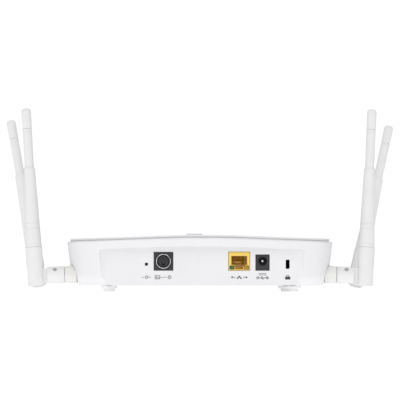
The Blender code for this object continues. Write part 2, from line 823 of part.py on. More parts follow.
def lan_jack():
    """Yellow socket housing with a plug cavity, a latch notch and two light pockets."""
    width, depth, height = LAN_SIZE
    face = socket_face()
    top = SOCKET_Z + height
    left, right = LAN_X - width / 2, LAN_X + width / 2
    housing = block("lan_jack_housing", (left, face, SOCKET_Z), (right, face + depth, top))
    plug_top = top - LAN_TOP_BAR
    plug_low = plug_top - LAN_PLUG[1]
    back = face + LAN_CAVITY
    before = face - 1 * MM
    half = LAN_PLUG[0] / 2
    cut(housing, block("lan_plug_hole", (LAN_X - half, before, plug_low), (LAN_X + half, back, plug_top)))
    half = LAN_LATCH[0] / 2
    latch = block(
        "lan_latch_hole",
        (LAN_X - half, before, plug_low - LAN_LATCH[1]),
        (LAN_X + half, back - 2 * MM, plug_low + 1 * MM),
    )
    cut(housing, latch)
    for side in (-1, 1):
        (x0, z0), (x1, z1) = lan_light_corners(side, GAP)
        cut(housing, block("lan_light_hole", (x0, before, z0), (x1, back, z1)))
    half = LAN_PITCH * LAN_CONTACTS / 2 + GAP
    throat = block(
        "lan_contact_throat",
        (LAN_X - half, back - 1 * MM, plug_low + 1 * MM),
        (LAN_X + half, face + depth - 1 * MM, plug_top),
    )
    cut(housing, throat)
    return as_part(housing, material("lan_yellow", (0.86, 0.55, 0.02), 0.4))


def lan_light_corners(side, grow):
    """Low and high corners, in X and Z, of a socket light or of its pocket."""
    wide, tall = LAN_LIGHT
    margin = 0.9 * MM
    outer = LAN_SIZE[0] / 2 - margin
    middle = LAN_X + side * (outer - wide / 2)
    low = SOCKET_Z + margin
    return (middle - wide / 2 - grow, low - grow), (middle + wide / 2 + grow, low + tall + grow)


def lan_light(name, side, colour):
    (x0, z0), (x1, z1) = lan_light_corners(side, 0.0)
    face = socket_face()
    light = block(name, (x0, face + 0.4 * MM, z0), (x1, face + LAN_CAVITY - GAP, z1))
    return as_part(light, material(name, colour, 0.25))


def lan_contacts():
    """Eight sloping spring contacts on one carrier in the back of the cavity."""
    face = socket_face()
    plug_top = SOCKET_Z + LAN_SIZE[2] - LAN_TOP_BAR
    plug_low = plug_top - LAN_PLUG[1]
    half = LAN_PITCH * LAN_CONTACTS / 2
    back = face + LAN_SIZE[1] - 1 * MM - GAP
    carrier_front = face + LAN_CAVITY + 0.6 * MM
    low, high = plug_low + 1 * MM + GAP, plug_top - GAP
    carrier = block("lan_contacts", (LAN_X - half, carrier_front, low), (LAN_X + half, back, high))
    wire = 0.25 * MM
    for i in range(LAN_CONTACTS):
        x = LAN_X - half + LAN_PITCH * (i + 0.5)
        tip_y, tip_z = face + 6 * MM, plug_top - 0.8 * MM
        root_y, root_z = carrier_front + 0.4 * MM, plug_top - 2.4 * MM
        square = ((-wire, -wire), (wire, -wire), (wire, wire), (-wire, wire))
        rings = []
        for y, z in ((tip_y, tip_z), (root_y, root_z)):
            rings.append([(x + across, y, z + up) for across, up in square])
        unite(carrier, loft("lan_wire", rings))
    return as_part(carrier, material("contact_gold", (0.85, 0.6, 0.2), 0.25, 1.0))


def console_jack():
    """Round console socket: a square dark housing, a metal shield ring and a keyed core."""
    width, depth, height = CONSOLE_SIZE
    face = socket_face()
    before, bottom = face - 1 * MM, face + CONSOLE_BORE
    z = SOCKET_Z + height / 2
    housing = block(
        "console_jack_housing",
        (CONSOLE_X - width / 2, face, SOCKET_Z),
        (CONSOLE_X + width / 2, face + depth, SOCKET_Z + height),
    )
    outer, core = CONSOLE_RING_RADIUS + GAP, CONSOLE_CORE_RADIUS
    moat = cross_rod("console_moat", outer, before, bottom, CONSOLE_X, z, 24)
    cut(moat, cross_rod("console_core", core, before - 1 * MM, bottom + 2 * MM, CONSOLE_X, z, 24))
    cut(housing, moat)
    pins_end = face + 7 * MM
    low, high = z - 3.0 * MM, z - 1.7 * MM
    key = block("console_key", (CONSOLE_X - 1.1 * MM, before, low), (CONSOLE_X + 1.1 * MM, pins_end, high))
    cut(housing, key)
    for x, up in console_pins():
        cut(housing, cross_rod("console_pin_hole", 0.5 * MM, before, pins_end, CONSOLE_X + x, z + up, 8))
    as_part(housing, dark_plastic())
    radius, start = CONSOLE_RING_RADIUS, face + 0.2 * MM
    ring = cross_rod("console_shield_ring", radius, start, bottom - GAP, CONSOLE_X, z, 24)
    bore = radius - CONSOLE_RING_WALL
    cut(ring, cross_rod("console_ring_bore", bore, before, bottom + 1 * MM, CONSOLE_X, z, 24))
    for turn in (90, 210, 330):
        angle = math.radians(turn)
        x = CONSOLE_X + CONSOLE_RING_RADIUS * math.cos(angle)
        up = z + CONSOLE_RING_RADIUS * math.sin(angle)
        half, end = 1.0 * MM, face + 2.5 * MM
        cut(ring, block("console_notch", (x - half, before, up - half), (x + half, end, up + half)))
    as_part(ring, nickel())


def console_pins():
    """Places of the eight pin holes in the console socket's core."""
    rows = ((2.2 * MM, 3, 1.7 * MM), (0.3 * MM, 3, 2.5 * MM), (-1.0 * MM, 2, 2.9 * MM))
    spots = []
    for up, count, pitch in rows:
        for i in range(count):
            spots.append(((i - (count - 1) / 2) * pitch, up))
    return spots


def power_jack():
    """DC inlet: a square dark housing with a round bore, and its centre pin."""
    width, depth, height = POWER_SIZE
    face = socket_face()
    z = SOCKET_Z + height * 0.6
    housing = block(
        "power_jack_housing",
        (POWER_X - width / 2, face, SOCKET_Z),
        (POWER_X + width / 2, face + depth, SOCKET_Z + height),
    )
    radius, end = POWER_PIN_RADIUS, face + depth - 1 * MM
    cut(
        housing,
        cross_rod("power_bore", POWER_BORE_RADIUS, face - 1 * MM, face + POWER_BORE, POWER_X, z),
        cross_rod("power_pin_hole", radius + GAP, face, end, POWER_X, z, SMALL_ROUND),
    )
    as_part(housing, dark_plastic())
    start, end = face + 1 * MM, end - GAP
    as_part(cross_rod("power_jack_pin", radius, start, end, POWER_X, z, SMALL_ROUND), nickel())


def reset_button():
    """Side-pressed switch on the board, with its plunger just behind the pinhole."""
    wide, deep, tall = RESET_BODY
    z = BOARD_Z + RESET_HEIGHT
    tip = PANEL_BACK + 0.4 * MM
    face = tip + 3.0 * MM
    left, right = RESET_X - wide / 2, RESET_X + wide / 2
    body = block("reset_switch_body", (left, face, SOCKET_Z), (right, face + deep, SOCKET_Z + tall))
    well = face + RESET_TRAVEL + 1.4 * MM
    radius, end = PLUNGER_RADIUS, well - RESET_TRAVEL - 2 * GAP
    cut(body, cross_rod("reset_well", radius + RUN, face - 1 * MM, well, RESET_X, z, SMALL_ROUND))
    as_part(body, dark_plastic())
    plunger = cross_rod("reset_plunger", radius, tip, end, RESET_X, z, SMALL_ROUND)
    as_part(plunger, material("plunger", (0.35, 0.05, 0.04), 0.4))


def lock_plate():
    wide, thick, tall = LOCK_PLATE
    y, z = PANEL_BACK + GAP, UNDERSIDE + LOCK_HEIGHT
    left, right = LOCK_X - wide / 2, LOCK_X + wide / 2
    plate = block("lock_plate", (left, y, z - tall / 2), (right, y + thick, z + tall / 2))
    across, up = (size + 2 * GAP for size in LOCK_SLOT)
    before, behind = y - 1 * MM, y + thick + 1 * MM
    cut(plate, rounded_slot("lock_plate_slot", across, up, before, behind, LOCK_X, z))
    return as_part(plate, steel())


def heat_sink():
    width, depth, height = HEAT_SINK
    x, y = HEAT_SINK_AT
    bottom = BOARD_Z + GAP
    near, far = y - depth / 2, y + depth / 2
    sink = block("heat_sink", (x - width / 2, near, bottom), (x + width / 2, far, bottom + height))
    pitch = (width - SINK_FIN) / (SINK_FINS - 1)
    for i in range(SINK_FINS - 1):
        left = x - width / 2 + SINK_FIN + pitch * i
        right = left + pitch - SINK_FIN
        slot = block(
            "sink_slot",
            (left, near - 1 * MM, bottom + SINK_BASE),
            (right, far + 1 * MM, bottom + height + 1 * MM),
        )
        cut(sink, slot)
    return as_part(sink, material("sink_aluminium", (0.5, 0.5, 0.52), 0.4, 1.0))


def radio_shields():
    half_width, half_depth = SHIELD[0] / 2, SHIELD[1] / 2
    y = SHIELD_AT[1]
    bottom = BOARD_Z + GAP
    top = bottom + SHIELD[2]
    inner_width, inner_depth = half_width - SHIELD_EDGE, half_depth - SHIELD_EDGE
    for name, side in (("left", -1), ("right", 1)):
        x = side * SHIELD_AT[0]
        can = block(
            f"radio_shield_{name}",
            (x - half_width, y - half_depth, bottom),
            (x + half_width, y + half_depth, top),
        )
        inner = block(
            "shield_inside",
            (x - inner_width, y - inner_depth, bottom - 1 * MM),
            (x + inner_width, y + inner_depth, top - SHIELD_EDGE),
        )
        cut(can, inner)
        as_part(can, nickel())


# ---------------------------------------------------------------- antennas


def antenna_jack(antenna):
    """Bulkhead jack: threaded end outside, flange on the seat, tail inside the case."""
    seat = seat_distance()
    flange_face = seat - GAP - JACK_FLANGE
    profile = [
        (0.0, -(flange_face - JACK_THREAD)),
        (THREAD_RADIUS - 0.4 * MM, -(flange_face - JACK_THREAD)),
        (THREAD_RADIUS, -(flange_face - JACK_THREAD + 0.4 * MM)),
        (THREAD_RADIUS, -flange_face),
        (JACK_FLANGE_RADIUS, -flange_face),
        (JACK_FLANGE_RADIUS, -(seat - GAP)),
        (THREAD_RADIUS, -(seat - GAP)),
        (THREAD_RADIUS, -(seat + JACK_INSIDE)),
        (JACK_TAIL_RADIUS, -(seat + JACK_INSIDE)),
        (JACK_TAIL_RADIUS, -(seat + JACK_INSIDE + 3 * MM)),
        (0.0, -(seat + JACK_INSIDE + 3 * MM)),
    ]
    made = turned(f"antenna_jack_{antenna.name}", profile, SMALL_ROUND)
    return as_part(made, material("jack_gold", (0.8, 0.6, 0.25), 0.3, 1.0), antenna.connector_frame())


def pigtail(antenna):
    """Coaxial lead from a jack's tail, up over the board's edge, down to the board."""
    tail = seat_distance() + JACK_INSIDE + 3 * MM + GAP
    frame = antenna.connector_frame()
    start = frame @ Vector((0, 0, -tail))
    straight = frame @ Vector((0, 0, -(tail + 3 * MM)))
    side = antenna.side
    rest_z = BOARD_Z + GAP + LEAD_RADIUS + 0.6 * MM
    end_y = SHIELD_AT[1] + antenna.row * (SHIELD[1] / 2 + 4 * MM)
    edge = BOARD_WIDTH / 2
    route = [
        start,
        straight,
        (side * (edge - 2 * MM), start.y * 0.98, rest_z + 3 * MM),
        (side * (edge - 9 * MM), start.y * 0.9 + end_y * 0.1, rest_z + 1 * MM),
        (side * (edge - 20 * MM), start.y * 0.5 + end_y * 0.5, rest_z),
        (side * (SHIELD_AT[0] + 7 * MM), end_y, rest_z),
        (side * SHIELD_AT[0], end_y, rest_z),
    ]
    return tube_along(f"pigtail_{antenna.name}", route, LEAD_RADIUS, dark_plastic())


def ribbed_circle(radius, depth, z):
    """Circle whose edge goes in and out once for each of the nut's ribs."""
    points = []
    for i in range(NUT_RIBS * 2):
        angle = 2 * math.pi * i / (NUT_RIBS * 2)
        reach = radius - (depth if i % 2 else 0.0)
        points.append((reach * math.cos(angle), reach * math.sin(angle), z))
    return points


def coupling_nut(antenna):
    outer_end = -(BARREL_FACE + BARREL_LENGTH + GAP)
    inner_end = outer_end - NUT_LENGTH
    ease = 0.6 * MM
    rings = [
        ribbed_circle(NUT_RADIUS - NUT_RIB_DEPTH, 0.0, inner_end),
        ribbed_circle(NUT_RADIUS, NUT_RIB_DEPTH, inner_end + ease),
        ribbed_circle(NUT_RADIUS, NUT_RIB_DEPTH, outer_end - ease),
        ribbed_circle(NUT_RADIUS - NUT_RIB_DEPTH, 0.0, outer_end),
    ]
    nut = loft(f"coupling_nut_{antenna.name}", rings)
    start, end = inner_end - 1 * MM, outer_end + 1 * MM
    bore = rod("nut_bore", THREAD_RADIUS + RUN, start, end, sides=SMALL_ROUND)
    bore.parent = nut
    cut(nut, bore)
    return as_part(nut, material("nut_plastic", (0.76, 0.75, 0.71), 0.5), antenna.connector_frame())


def swivel_barrel(antenna):
    """Barrel with a neck in the nut and a rounded tongue in the fork."""
    inner = -(BARREL_FACE + BARREL_LENGTH)
    ease = 0.5 * MM
    profile = [
        (0.0, -BARREL_FACE),
        (BARREL_RADIUS - ease, -BARREL_FACE),
        (BARREL_RADIUS, -BARREL_FACE - ease),
        (BARREL_RADIUS, inner + ease),
        (BARREL_RADIUS - ease, inner),
        (THREAD_RADIUS, inner),
        (THREAD_RADIUS, inner - NECK_LENGTH),
        (0.0, inner - NECK_LENGTH),
    ]
    barrel = turned(f"swivel_barrel_{antenna.name}", profile)
    half = TONGUE_WALL / 2
    neck = block("tongue_neck", (-TONGUE_RADIUS, -half, -BARREL_FACE - 2 * MM), (TONGUE_RADIUS, half, 0.0))
    end = cross_rod("tongue_end", TONGUE_RADIUS, -half, half, 0.0, 0.0)
    reach = half + 1 * MM
    bore = cross_rod("tongue_bore", PIN_RADIUS + RUN, -reach, reach, 0.0, 0.0, SMALL_ROUND)
    for tool in (neck, end, bore):
        tool.parent = barrel
    unite(barrel, neck, end)
    cut(barrel, bore)
    return as_part(barrel, antenna_plastic(), antenna.barrel_frame())


def fork_outline(y):
    """Side view of the fork: its lower end has a large inner corner that clears the barrel."""
    half = FORK_RADIUS + 1 * MM
    edge = FORK_RADIUS
    top = FORK_LENGTH
    points = [(half, top), (-half, top), (-half, -FORK_FOOT + FORK_INNER_CORNER)]
    steps = 5
    for side, radius in ((-1, FORK_INNER_CORNER), (1, FORK_OUTER_CORNER)):
        for i in range(steps + 1):
            turn = math.pi / 2 * (i if side < 0 else steps - i) / steps
            x = side * (edge - radius + radius * math.cos(turn))
            points.append((x, -FORK_FOOT + radius - radius * math.sin(turn)))
    points.append((half, -FORK_FOOT + FORK_OUTER_CORNER))
    return [(x, y, z) for x, z in points]


def fork_base(antenna):
    """Round base of an antenna, slotted into two ears that hold the hinge pin."""
    top = FORK_LENGTH - FORK_FOOT
    fork = rod(f"fork_base_{antenna.name}", FORK_RADIUS, -FORK_FOOT - 1 * MM, top)
    reach = FORK_RADIUS + 2 * MM
    outline = loft("fork_outline", [fork_outline(-reach), fork_outline(reach)])
    half = TONGUE_WALL / 2 + GAP
    slot = block("fork_slot", (-reach, -half, -FORK_FOOT - 3 * MM), (reach, half, FORK_SLOT_TOP))
    well = top - SPIGOT - 2 * GAP
    socket = rod("fork_socket", SPIGOT_RADIUS + GAP, well, top + 1 * MM, sides=SMALL_ROUND)
    pin_hole = cross_rod("fork_pin_hole", PIN_RADIUS + GAP, -reach, reach, 0.0, 0.0, SMALL_ROUND)
    for tool in (outline, slot, socket, pin_hole):
        tool.parent = fork
    join(fork, outline, "INTERSECT")
    cut(fork, slot, socket, pin_hole)
    return as_part(fork, antenna_plastic(), antenna.mast_frame())


def hinge_pin(antenna):
    reach = math.sqrt(FORK_RADIUS**2 - PIN_RADIUS**2) - 0.4 * MM
    pin = cross_rod(f"hinge_pin_{antenna.name}", PIN_RADIUS, -reach, reach, 0.0, 0.0, SMALL_ROUND)
    return as_part(pin, steel(), antenna.mast_frame())


def mast(antenna):
    """Tapered antenna sleeve: a spigot in the fork, a collar, a step and a slim upper part."""
    foot_z = FORK_LENGTH - FORK_FOOT + GAP
    radii = MAST_RADII
    profile = [
        (0.0, MAST_END + SPIGOT * 0.6),
        (radii["neck"] * 0.55, MAST_END + SPIGOT * 0.6),
        (radii["neck"] * 0.55, MAST_END),
        (radii["top"], MAST_END),
        (radii["neck"], MAST_STEP + 4 * MM),
        (radii["neck"], MAST_STEP),
        (radii["shoulder"], MAST_STEP),
        (radii["collar"] * 0.97, MAST_COLLAR[1]),
        (radii["collar"], MAST_COLLAR[1]),
        (radii["collar"] * 1.01, MAST_COLLAR[0]),
        (radii["collar"], MAST_COLLAR[0]),
        (radii["foot"], foot_z),
        (SPIGOT_RADIUS, foot_z),
        (SPIGOT_RADIUS, foot_z - SPIGOT),
        (0.0, foot_z - SPIGOT),
    ]
    made = turned(f"mast_{antenna.name}", profile)
    return as_part(made, antenna_plastic(), antenna.mast_frame())


def tip_cap(antenna):
    """Cap over the peg at the top of the antenna sleeve."""
    foot_z = MAST_END + GAP
    peg = MAST_RADII["neck"] * 0.55 + GAP
    peg_top = MAST_END + SPIGOT * 0.6 + GAP
    profile = [
        (0.0, MAST_TIP),
        (TIP_RADIUS * 0.55, MAST_TIP),
        (TIP_RADIUS * 0.88, MAST_TIP - 0.8 * MM),
        (TIP_RADIUS, MAST_TIP - 2.2 * MM),
        (MAST_RADII["top"], foot_z),
        (peg, foot_z),
        (peg, peg_top),
        (0.0, peg_top),
    ]
    made = turned(f"tip_cap_{antenna.name}", profile)
    return as_part(made, antenna_plastic(), antenna.mast_frame())


def main():
    empty_scene()
    base_shell()
    top_cover()
    status_lens()
    for name, spot in corners(FOOT_AT).items():
        foot(name, spot)
    for name, spot in corners(POST_AT).items():
        reach = UNDERSIDE + POST_HEIGHT + SCREW_REACH - screw_seat()
        screw(f"case_screw_{name}", spot, screw_seat() - GAP, reach, 1)
    main_board()
    board_screws()
    lan_jack()
    lan_contacts()
    lan_light("lan_light_green", -1, (0.05, 0.5, 0.1))
    lan_light("lan_light_amber", 1, (0.8, 0.5, 0.03))
    console_jack()
    power_jack()
    reset_button()
    lock_plate()
    heat_sink()
    radio_shields()
    for antenna in ANTENNAS:
        antenna_jack(antenna)
        pigtail(antenna)
        coupling_nut(antenna)
        swivel_barrel(antenna)
        fork_base(antenna)
        hinge_pin(antenna)
        mast(antenna)
        tip_cap(antenna)


main()
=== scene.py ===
"""Visual model of a desktop wireless access point with four folding antennas.

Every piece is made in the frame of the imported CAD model: metres, +Z up, the socket panel facing
-Y and the origin in the middle of the case's flat underside.
"""

import json
import logging
import math
from dataclasses import dataclass
from enum import Enum
from typing import Iterable, Sequence

import bmesh
import bpy
from bmesh.types import BMesh, BMVert
from mathutils import Matrix, Vector


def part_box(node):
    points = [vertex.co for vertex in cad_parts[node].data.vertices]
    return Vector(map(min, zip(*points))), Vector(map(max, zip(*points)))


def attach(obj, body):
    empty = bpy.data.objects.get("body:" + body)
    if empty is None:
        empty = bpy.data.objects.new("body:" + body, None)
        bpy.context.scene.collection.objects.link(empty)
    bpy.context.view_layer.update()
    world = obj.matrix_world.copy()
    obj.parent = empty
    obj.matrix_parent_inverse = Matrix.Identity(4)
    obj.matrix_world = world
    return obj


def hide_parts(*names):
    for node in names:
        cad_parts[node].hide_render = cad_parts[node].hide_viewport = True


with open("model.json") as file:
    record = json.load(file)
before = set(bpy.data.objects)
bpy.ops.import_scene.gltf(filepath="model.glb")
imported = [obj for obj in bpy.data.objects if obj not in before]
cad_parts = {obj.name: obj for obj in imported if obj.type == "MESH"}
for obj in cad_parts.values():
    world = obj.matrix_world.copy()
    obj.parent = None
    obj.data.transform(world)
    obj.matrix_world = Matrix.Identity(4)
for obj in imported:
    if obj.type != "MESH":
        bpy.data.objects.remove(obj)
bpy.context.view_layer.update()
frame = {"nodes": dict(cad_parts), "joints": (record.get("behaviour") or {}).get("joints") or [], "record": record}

LOG = logging.getLogger("access_point")
MM = 0.001
GAP = 0.3 * MM  # left between faces that touch
RUN = 0.35 * MM  # radial clearance of a pin or shank in its hole
FUSE = 1e-7  # vertices closer than this are one
CREASE = math.radians(32)  # edges that turn further than this stay crisp
Point = Sequence[float]


# ---------------------------------------------------------------- finishes


def linear(shade: str) -> tuple[float, float, float, float]:
    """Turn an sRGB hex value into linear RGBA.

    Args:
        shade: Six hex digits.

    Returns:
        Linear red, green and blue, with an alpha of one.
    """
    parts = [int(shade[i : i + 2], 16) / 255 for i in (0, 2, 4)]
    curve = [c / 12.92 if c <= 0.04045 else ((c + 0.055) / 1.055) ** 2.4 for c in parts]
    return (*curve, 1.0)


def add_node(
    tree: bpy.types.NodeTree, kind: str, settings: dict | None = None, links: dict | None = None
) -> bpy.types.Node:
    """Add a node with its settings and its incoming links.

    Args:
        tree: Node tree that gets the node.
        kind: Node type, without the ShaderNode prefix.
        settings: Values by socket name, or by property name where no socket has it.
        links: Output sockets by the name of the input they feed.

    Returns:
        The new node.
    """
    node = tree.nodes.new("ShaderNode" + kind)
    for key, value in (settings or {}).items():
        if key in node.inputs:
            node.inputs[key].default_value = value
        else:
            setattr(node, key, value)
    for key, socket in (links or {}).items():
        tree.links.new(socket, node.inputs[key])
    return node


def new_tree(label: str) -> tuple[bpy.types.Material, bpy.types.NodeTree, bpy.types.Node]:
    """Make a material with an empty shader.

    Args:
        label: The material's name.

    Returns:
        The material, its node tree and its Principled shader.
    """
    made = bpy.data.materials.new(label)
    made.use_nodes = True
    return made, made.node_tree, made.node_tree.nodes["Principled BSDF"]


def shade_ramp(
    tree: bpy.types.NodeTree, factor: bpy.types.NodeSocket, dark: Point, light: Point
) -> bpy.types.NodeSocket:
    """Blend two colours by a pattern.

    Args:
        tree: Node tree of the material.
        factor: The pattern, from 0 to 1.
        dark: Linear colour where the pattern is low.
        light: Linear colour where it is high.

    Returns:
        The blended colour's socket.
    """
    ramp = add_node(tree, "ValToRGB", links={"Fac": factor})
    ramp.color_ramp.elements[0].color = dark
    ramp.color_ramp.elements[1].color = light
    ramp.color_ramp.elements[0].position = 0.3
    ramp.color_ramp.elements[1].position = 0.7
    return ramp.outputs["Color"]


@dataclass(frozen=True)
class Moulded:
    """A moulded or cast polymer: a body colour that drifts a little and a fine tool grain.

    Attributes:
        slot: The record's material slot.
        label: The material's name.
        shade: sRGB colour.
        drift: How much darker the darkest patch is, as a share.
        cloud: Width of a colour patch, in mm.
        roughness: Middle roughness.
        polish: How far the roughness goes up and down.
        grain: Spacing of the tool grain, in mm.
        relief: Height of the grain, in mm.
        ior: Index of refraction.
        sheen: Strength of a soft powdery sheen.
        clear: Share of light that passes through.
        glow: Strength of a lamp behind the surface.
    """

    slot: str
    label: str
    shade: str
    drift: float = 0.03
    cloud: float = 14.0
    roughness: float = 0.45
    polish: float = 0.05
    grain: float = 0.35
    relief: float = 0.02
    ior: float = 1.53
    sheen: float = 0.0
    clear: float = 0.0
    glow: float = 0.0

    def build(self) -> bpy.types.Material:
        """Make the material.

        Returns:
            The new material.
        """
        made, tree, shader = new_tree(self.label)
        place = add_node(tree, "TexCoord").outputs["Object"]
        cloud = add_node(
            tree,
            "TexNoise",
            {"Scale": 1 / (self.cloud * MM), "Detail": 3.0, "Roughness": 0.55},
            {"Vector": place},
        )
        light = linear(self.shade)
        dark = (*(c * (1 - self.drift) for c in light[:3]), 1.0)
        tree.links.new(shade_ramp(tree, cloud.outputs["Fac"], dark, light), shader.inputs["Base Color"])
        grain = add_node(
            tree,
            "TexNoise",
            {"Scale": 1 / (self.grain * MM), "Detail": 4.0, "Roughness": 0.6},
            {"Vector": place},
        )
        swing = add_node(
            tree,
            "MapRange",
            {"To Min": self.roughness - self.polish, "To Max": self.roughness + self.polish},
            {"Value": grain.outputs["Fac"]},
        )
        tree.links.new(swing.outputs["Result"], shader.inputs["Roughness"])
        bump = add_node(
            tree, "Bump", {"Strength": 0.6, "Distance": self.relief * MM}, {"Height": grain.outputs["Fac"]}
        )
        tree.links.new(bump.outputs["Normal"], shader.inputs["Normal"])
        shader.inputs["IOR"].default_value = self.ior
        shader.inputs["Sheen Weight"].default_value = self.sheen
        shader.inputs["Transmission Weight"].default_value = self.clear
        if self.glow:
            shader.inputs["Emission Color"].default_value = light
            shader.inputs["Emission Strength"].default_value = self.glow
        return made


@dataclass(frozen=True)
class Metal:
    """A bare or plated metal with fine machining or drawing marks.

    Attributes:
        slot: The record's material slot.
        label: The material's name.
        shade: sRGB colour.
        roughness: Middle roughness.
        tarnish: How much darker the dullest patch is, as a share.
        marks: Spacing of the marks, in mm.
        along: Stretch of the marks along X, Y and Z.
    """

    slot: str
    label: str
    shade: str
    roughness: float = 0.28
    tarnish: float = 0.12
    marks: float = 0.15
    along: tuple[float, float, float] = (1.0, 1.0, 1.0)

    def build(self) -> bpy.types.Material:
        """Make the material.

        Returns:
            The new material.
        """
        made, tree, shader = new_tree(self.label)
        place = add_node(tree, "TexCoord").outputs["Object"]
        turned_to = add_node(tree, "Mapping", {"Scale": self.along}, {"Vector": place}).outputs["Vector"]
        fine = {"Scale": 1 / (self.marks * MM), "Detail": 3.0}
        marks = add_node(tree, "TexNoise", fine, {"Vector": turned_to})
        patch = add_node(tree, "TexNoise", {"Scale": 1 / (4 * MM), "Detail": 2.0}, {"Vector": place})
        light = linear(self.shade)
        dark = (*(c * (1 - self.tarnish) for c in light[:3]), 1.0)
        tree.links.new(shade_ramp(tree, patch.outputs["Fac"], dark, light), shader.inputs["Base Color"])
        swing = add_node(
            tree,
            "MapRange",
            {"To Min": self.roughness * 0.7, "To Max": self.roughness * 1.3},
            {"Value": marks.outputs["Fac"]},
        )
        tree.links.new(swing.outputs["Result"], shader.inputs["Roughness"])
        relief = {"Strength": 0.4, "Distance": 0.01 * MM}
        bump = add_node(tree, "Bump", relief, {"Height": marks.outputs["Fac"]})
        tree.links.new(bump.outputs["Normal"], shader.inputs["Normal"])
        shader.inputs["Metallic"].default_value = 1.0
        return made


@dataclass(frozen=True)
class Laminate:
    """Glass laminate under green solder mask, with copper tracks that show as paler lines.

    Attributes:
        slot: The record's material slot.
        label: The material's name.
        shade: sRGB colour over bare laminate.
        track_shade: sRGB colour over copper.
        pitch: Spacing of the tracks, in mm.
    """

    slot: str
    label: str
    shade: str
    track_shade: str
    pitch: float

    def build(self) -> bpy.types.Material:
        """Make the material.

        Returns:
            The new material.
        """
        made, tree, shader = new_tree(self.label)
        place = add_node(tree, "TexCoord").outputs["Object"]
        cells = add_node(
            tree,
            "TexVoronoi",
            {"Scale": 1 / (self.pitch * 3 * MM), "distance": "MANHATTAN", "feature": "F1"},
            {"Vector": place},
        )
        spacing = {"Scale": 1 / (self.pitch * 6 * MM)}
        weave = add_node(tree, "TexWave", spacing, {"Vector": cells.outputs["Position"]})
        colour = shade_ramp(tree, weave.outputs["Fac"], linear(self.shade), linear(self.track_shade))
        tree.links.new(colour, shader.inputs["Base Color"])
        relief = {"Strength": 0.5, "Distance": 0.03 * MM}
        bump = add_node(tree, "Bump", relief, {"Height": weave.outputs["Fac"]})
        tree.links.new(bump.outputs["Normal"], shader.inputs["Normal"])
        shader.inputs["Roughness"].default_value = 0.32
        return made


class Finish(Enum):
    """The access point's finishes."""

    # White ABS from a fine-sparked tool: even and silky, with no sharp highlight.
    CASE = Moulded("case_white", "abs_case_white", "E8E8EA", 0.02, 30.0, 0.42, 0.05, 0.45, 0.012)
    # Antenna sleeves: a softer elastomer-like white, a little greyer and duller.
    ANTENNA = Moulded(
        "antenna_white", "tpe_antenna_white", "E8E7E8", 0.03, 18.0, 0.52, 0.05, 0.4, 0.015, sheen=0.05
    )
    # Coupling nuts: uncoloured nylon, which yellows a little.
    NUT = Moulded("nut_ivory", "nylon_ivory", "E9E8E5", 0.03, 5.0, 0.5, 0.06, 0.3, 0.02)
    # Feet: cast silicone, pale and slightly waxy.
    FOOT = Moulded(
        "foot_rubber", "silicone_milk_white", "F1F1F1", 0.02, 4.0, 0.6, 0.05, 0.25, 0.02, ior=1.41, sheen=0.2
    )
    # Lamp window: milky polycarbonate that takes the case's colour.
    LENS = Moulded("lens", "polycarbonate_milk", "DEE0E3", 0.02, 6.0, 0.22, 0.03, 0.6, 0.004, ior=1.58)
    # Network socket: glossy PBT coloured right through.
    LAN = Moulded("lan_yellow", "pbt_signal_yellow", "F6CF62", 0.05, 4.0, 0.34, 0.05, 0.3, 0.01)
    # Other sockets: dark glass-filled nylon, slightly mottled.
    SOCKET = Moulded("socket_black", "nylon_dark_grey", "26262A", 0.3, 2.0, 0.46, 0.08, 0.25, 0.02)
    LIGHT_GREEN = Moulded("light_green", "acrylic_green", "3F6B3A", 0.2, 1.5, 0.2, 0.03, 0.4, 0.004, ior=1.49)
    LIGHT_AMBER = Moulded("light_amber", "acrylic_amber", "B98A1E", 0.2, 1.5, 0.2, 0.03, 0.4, 0.004, ior=1.49)
    PLUNGER = Moulded("button_black", "acetal_black", "1E1E20", 0.2, 2.0, 0.38, 0.04, 0.3, 0.01)
    LEAD = Moulded("lead_black", "fep_cable_jacket", "1F1F21", 0.15, 3.0, 0.36, 0.05, 0.5, 0.01)
    # Screws, hinge pins and the lock plate: bright zinc on drawn steel.
    STEEL = Metal("steel", "zinc_plated_steel", "C9CBCF", 0.32, 0.15, 0.2, (1.0, 1.0, 0.25))
    # Shield ring, power pin and shield cans: satin nickel.
    NICKEL = Metal("nickel", "satin_nickel", "D8D8DA", 0.26, 0.12, 0.15, (1.0, 0.3, 1.0))
    # Antenna jacks: turned brass under bright nickel.
    BRASS = Metal("jack_brass", "nickel_plated_brass", "D9D6CC", 0.3, 0.1, 0.12, (0.3, 1.0, 1.0))
    CONTACT = Metal("contact_gold", "gilt_spring_wire", "B98F3E", 0.3, 0.1, 0.08, (1.0, 0.3, 1.0))
    # Heat sink: plain extruded aluminium with lines along the fins.
    SINK = Metal("sink", "extruded_aluminium", "B9BCC0", 0.38, 0.1, 0.3, (1.0, 0.1, 1.0))
    BOARD = Laminate("board", "solder_mask_green", "12502E", "1C7040", 0.8)
    # Printed marks: matt grey pad-printing ink.
    INK = Moulded("case_white", "pad_print_grey", "3A3A40", 0.1, 0.8, 0.6, 0.05, 0.2, 0.006)

    def material(self) -> bpy.types.Material:
        """Return the finish's material, made on first use."""
        return bpy.data.materials.get(self.value.label) or self.value.build()


# ---------------------------------------------------------------- shapes


class Solid(Enum):
    """How one solid changes another."""

    CUT = "DIFFERENCE"
    UNITE = "UNION"
    KEEP = "INTERSECT"


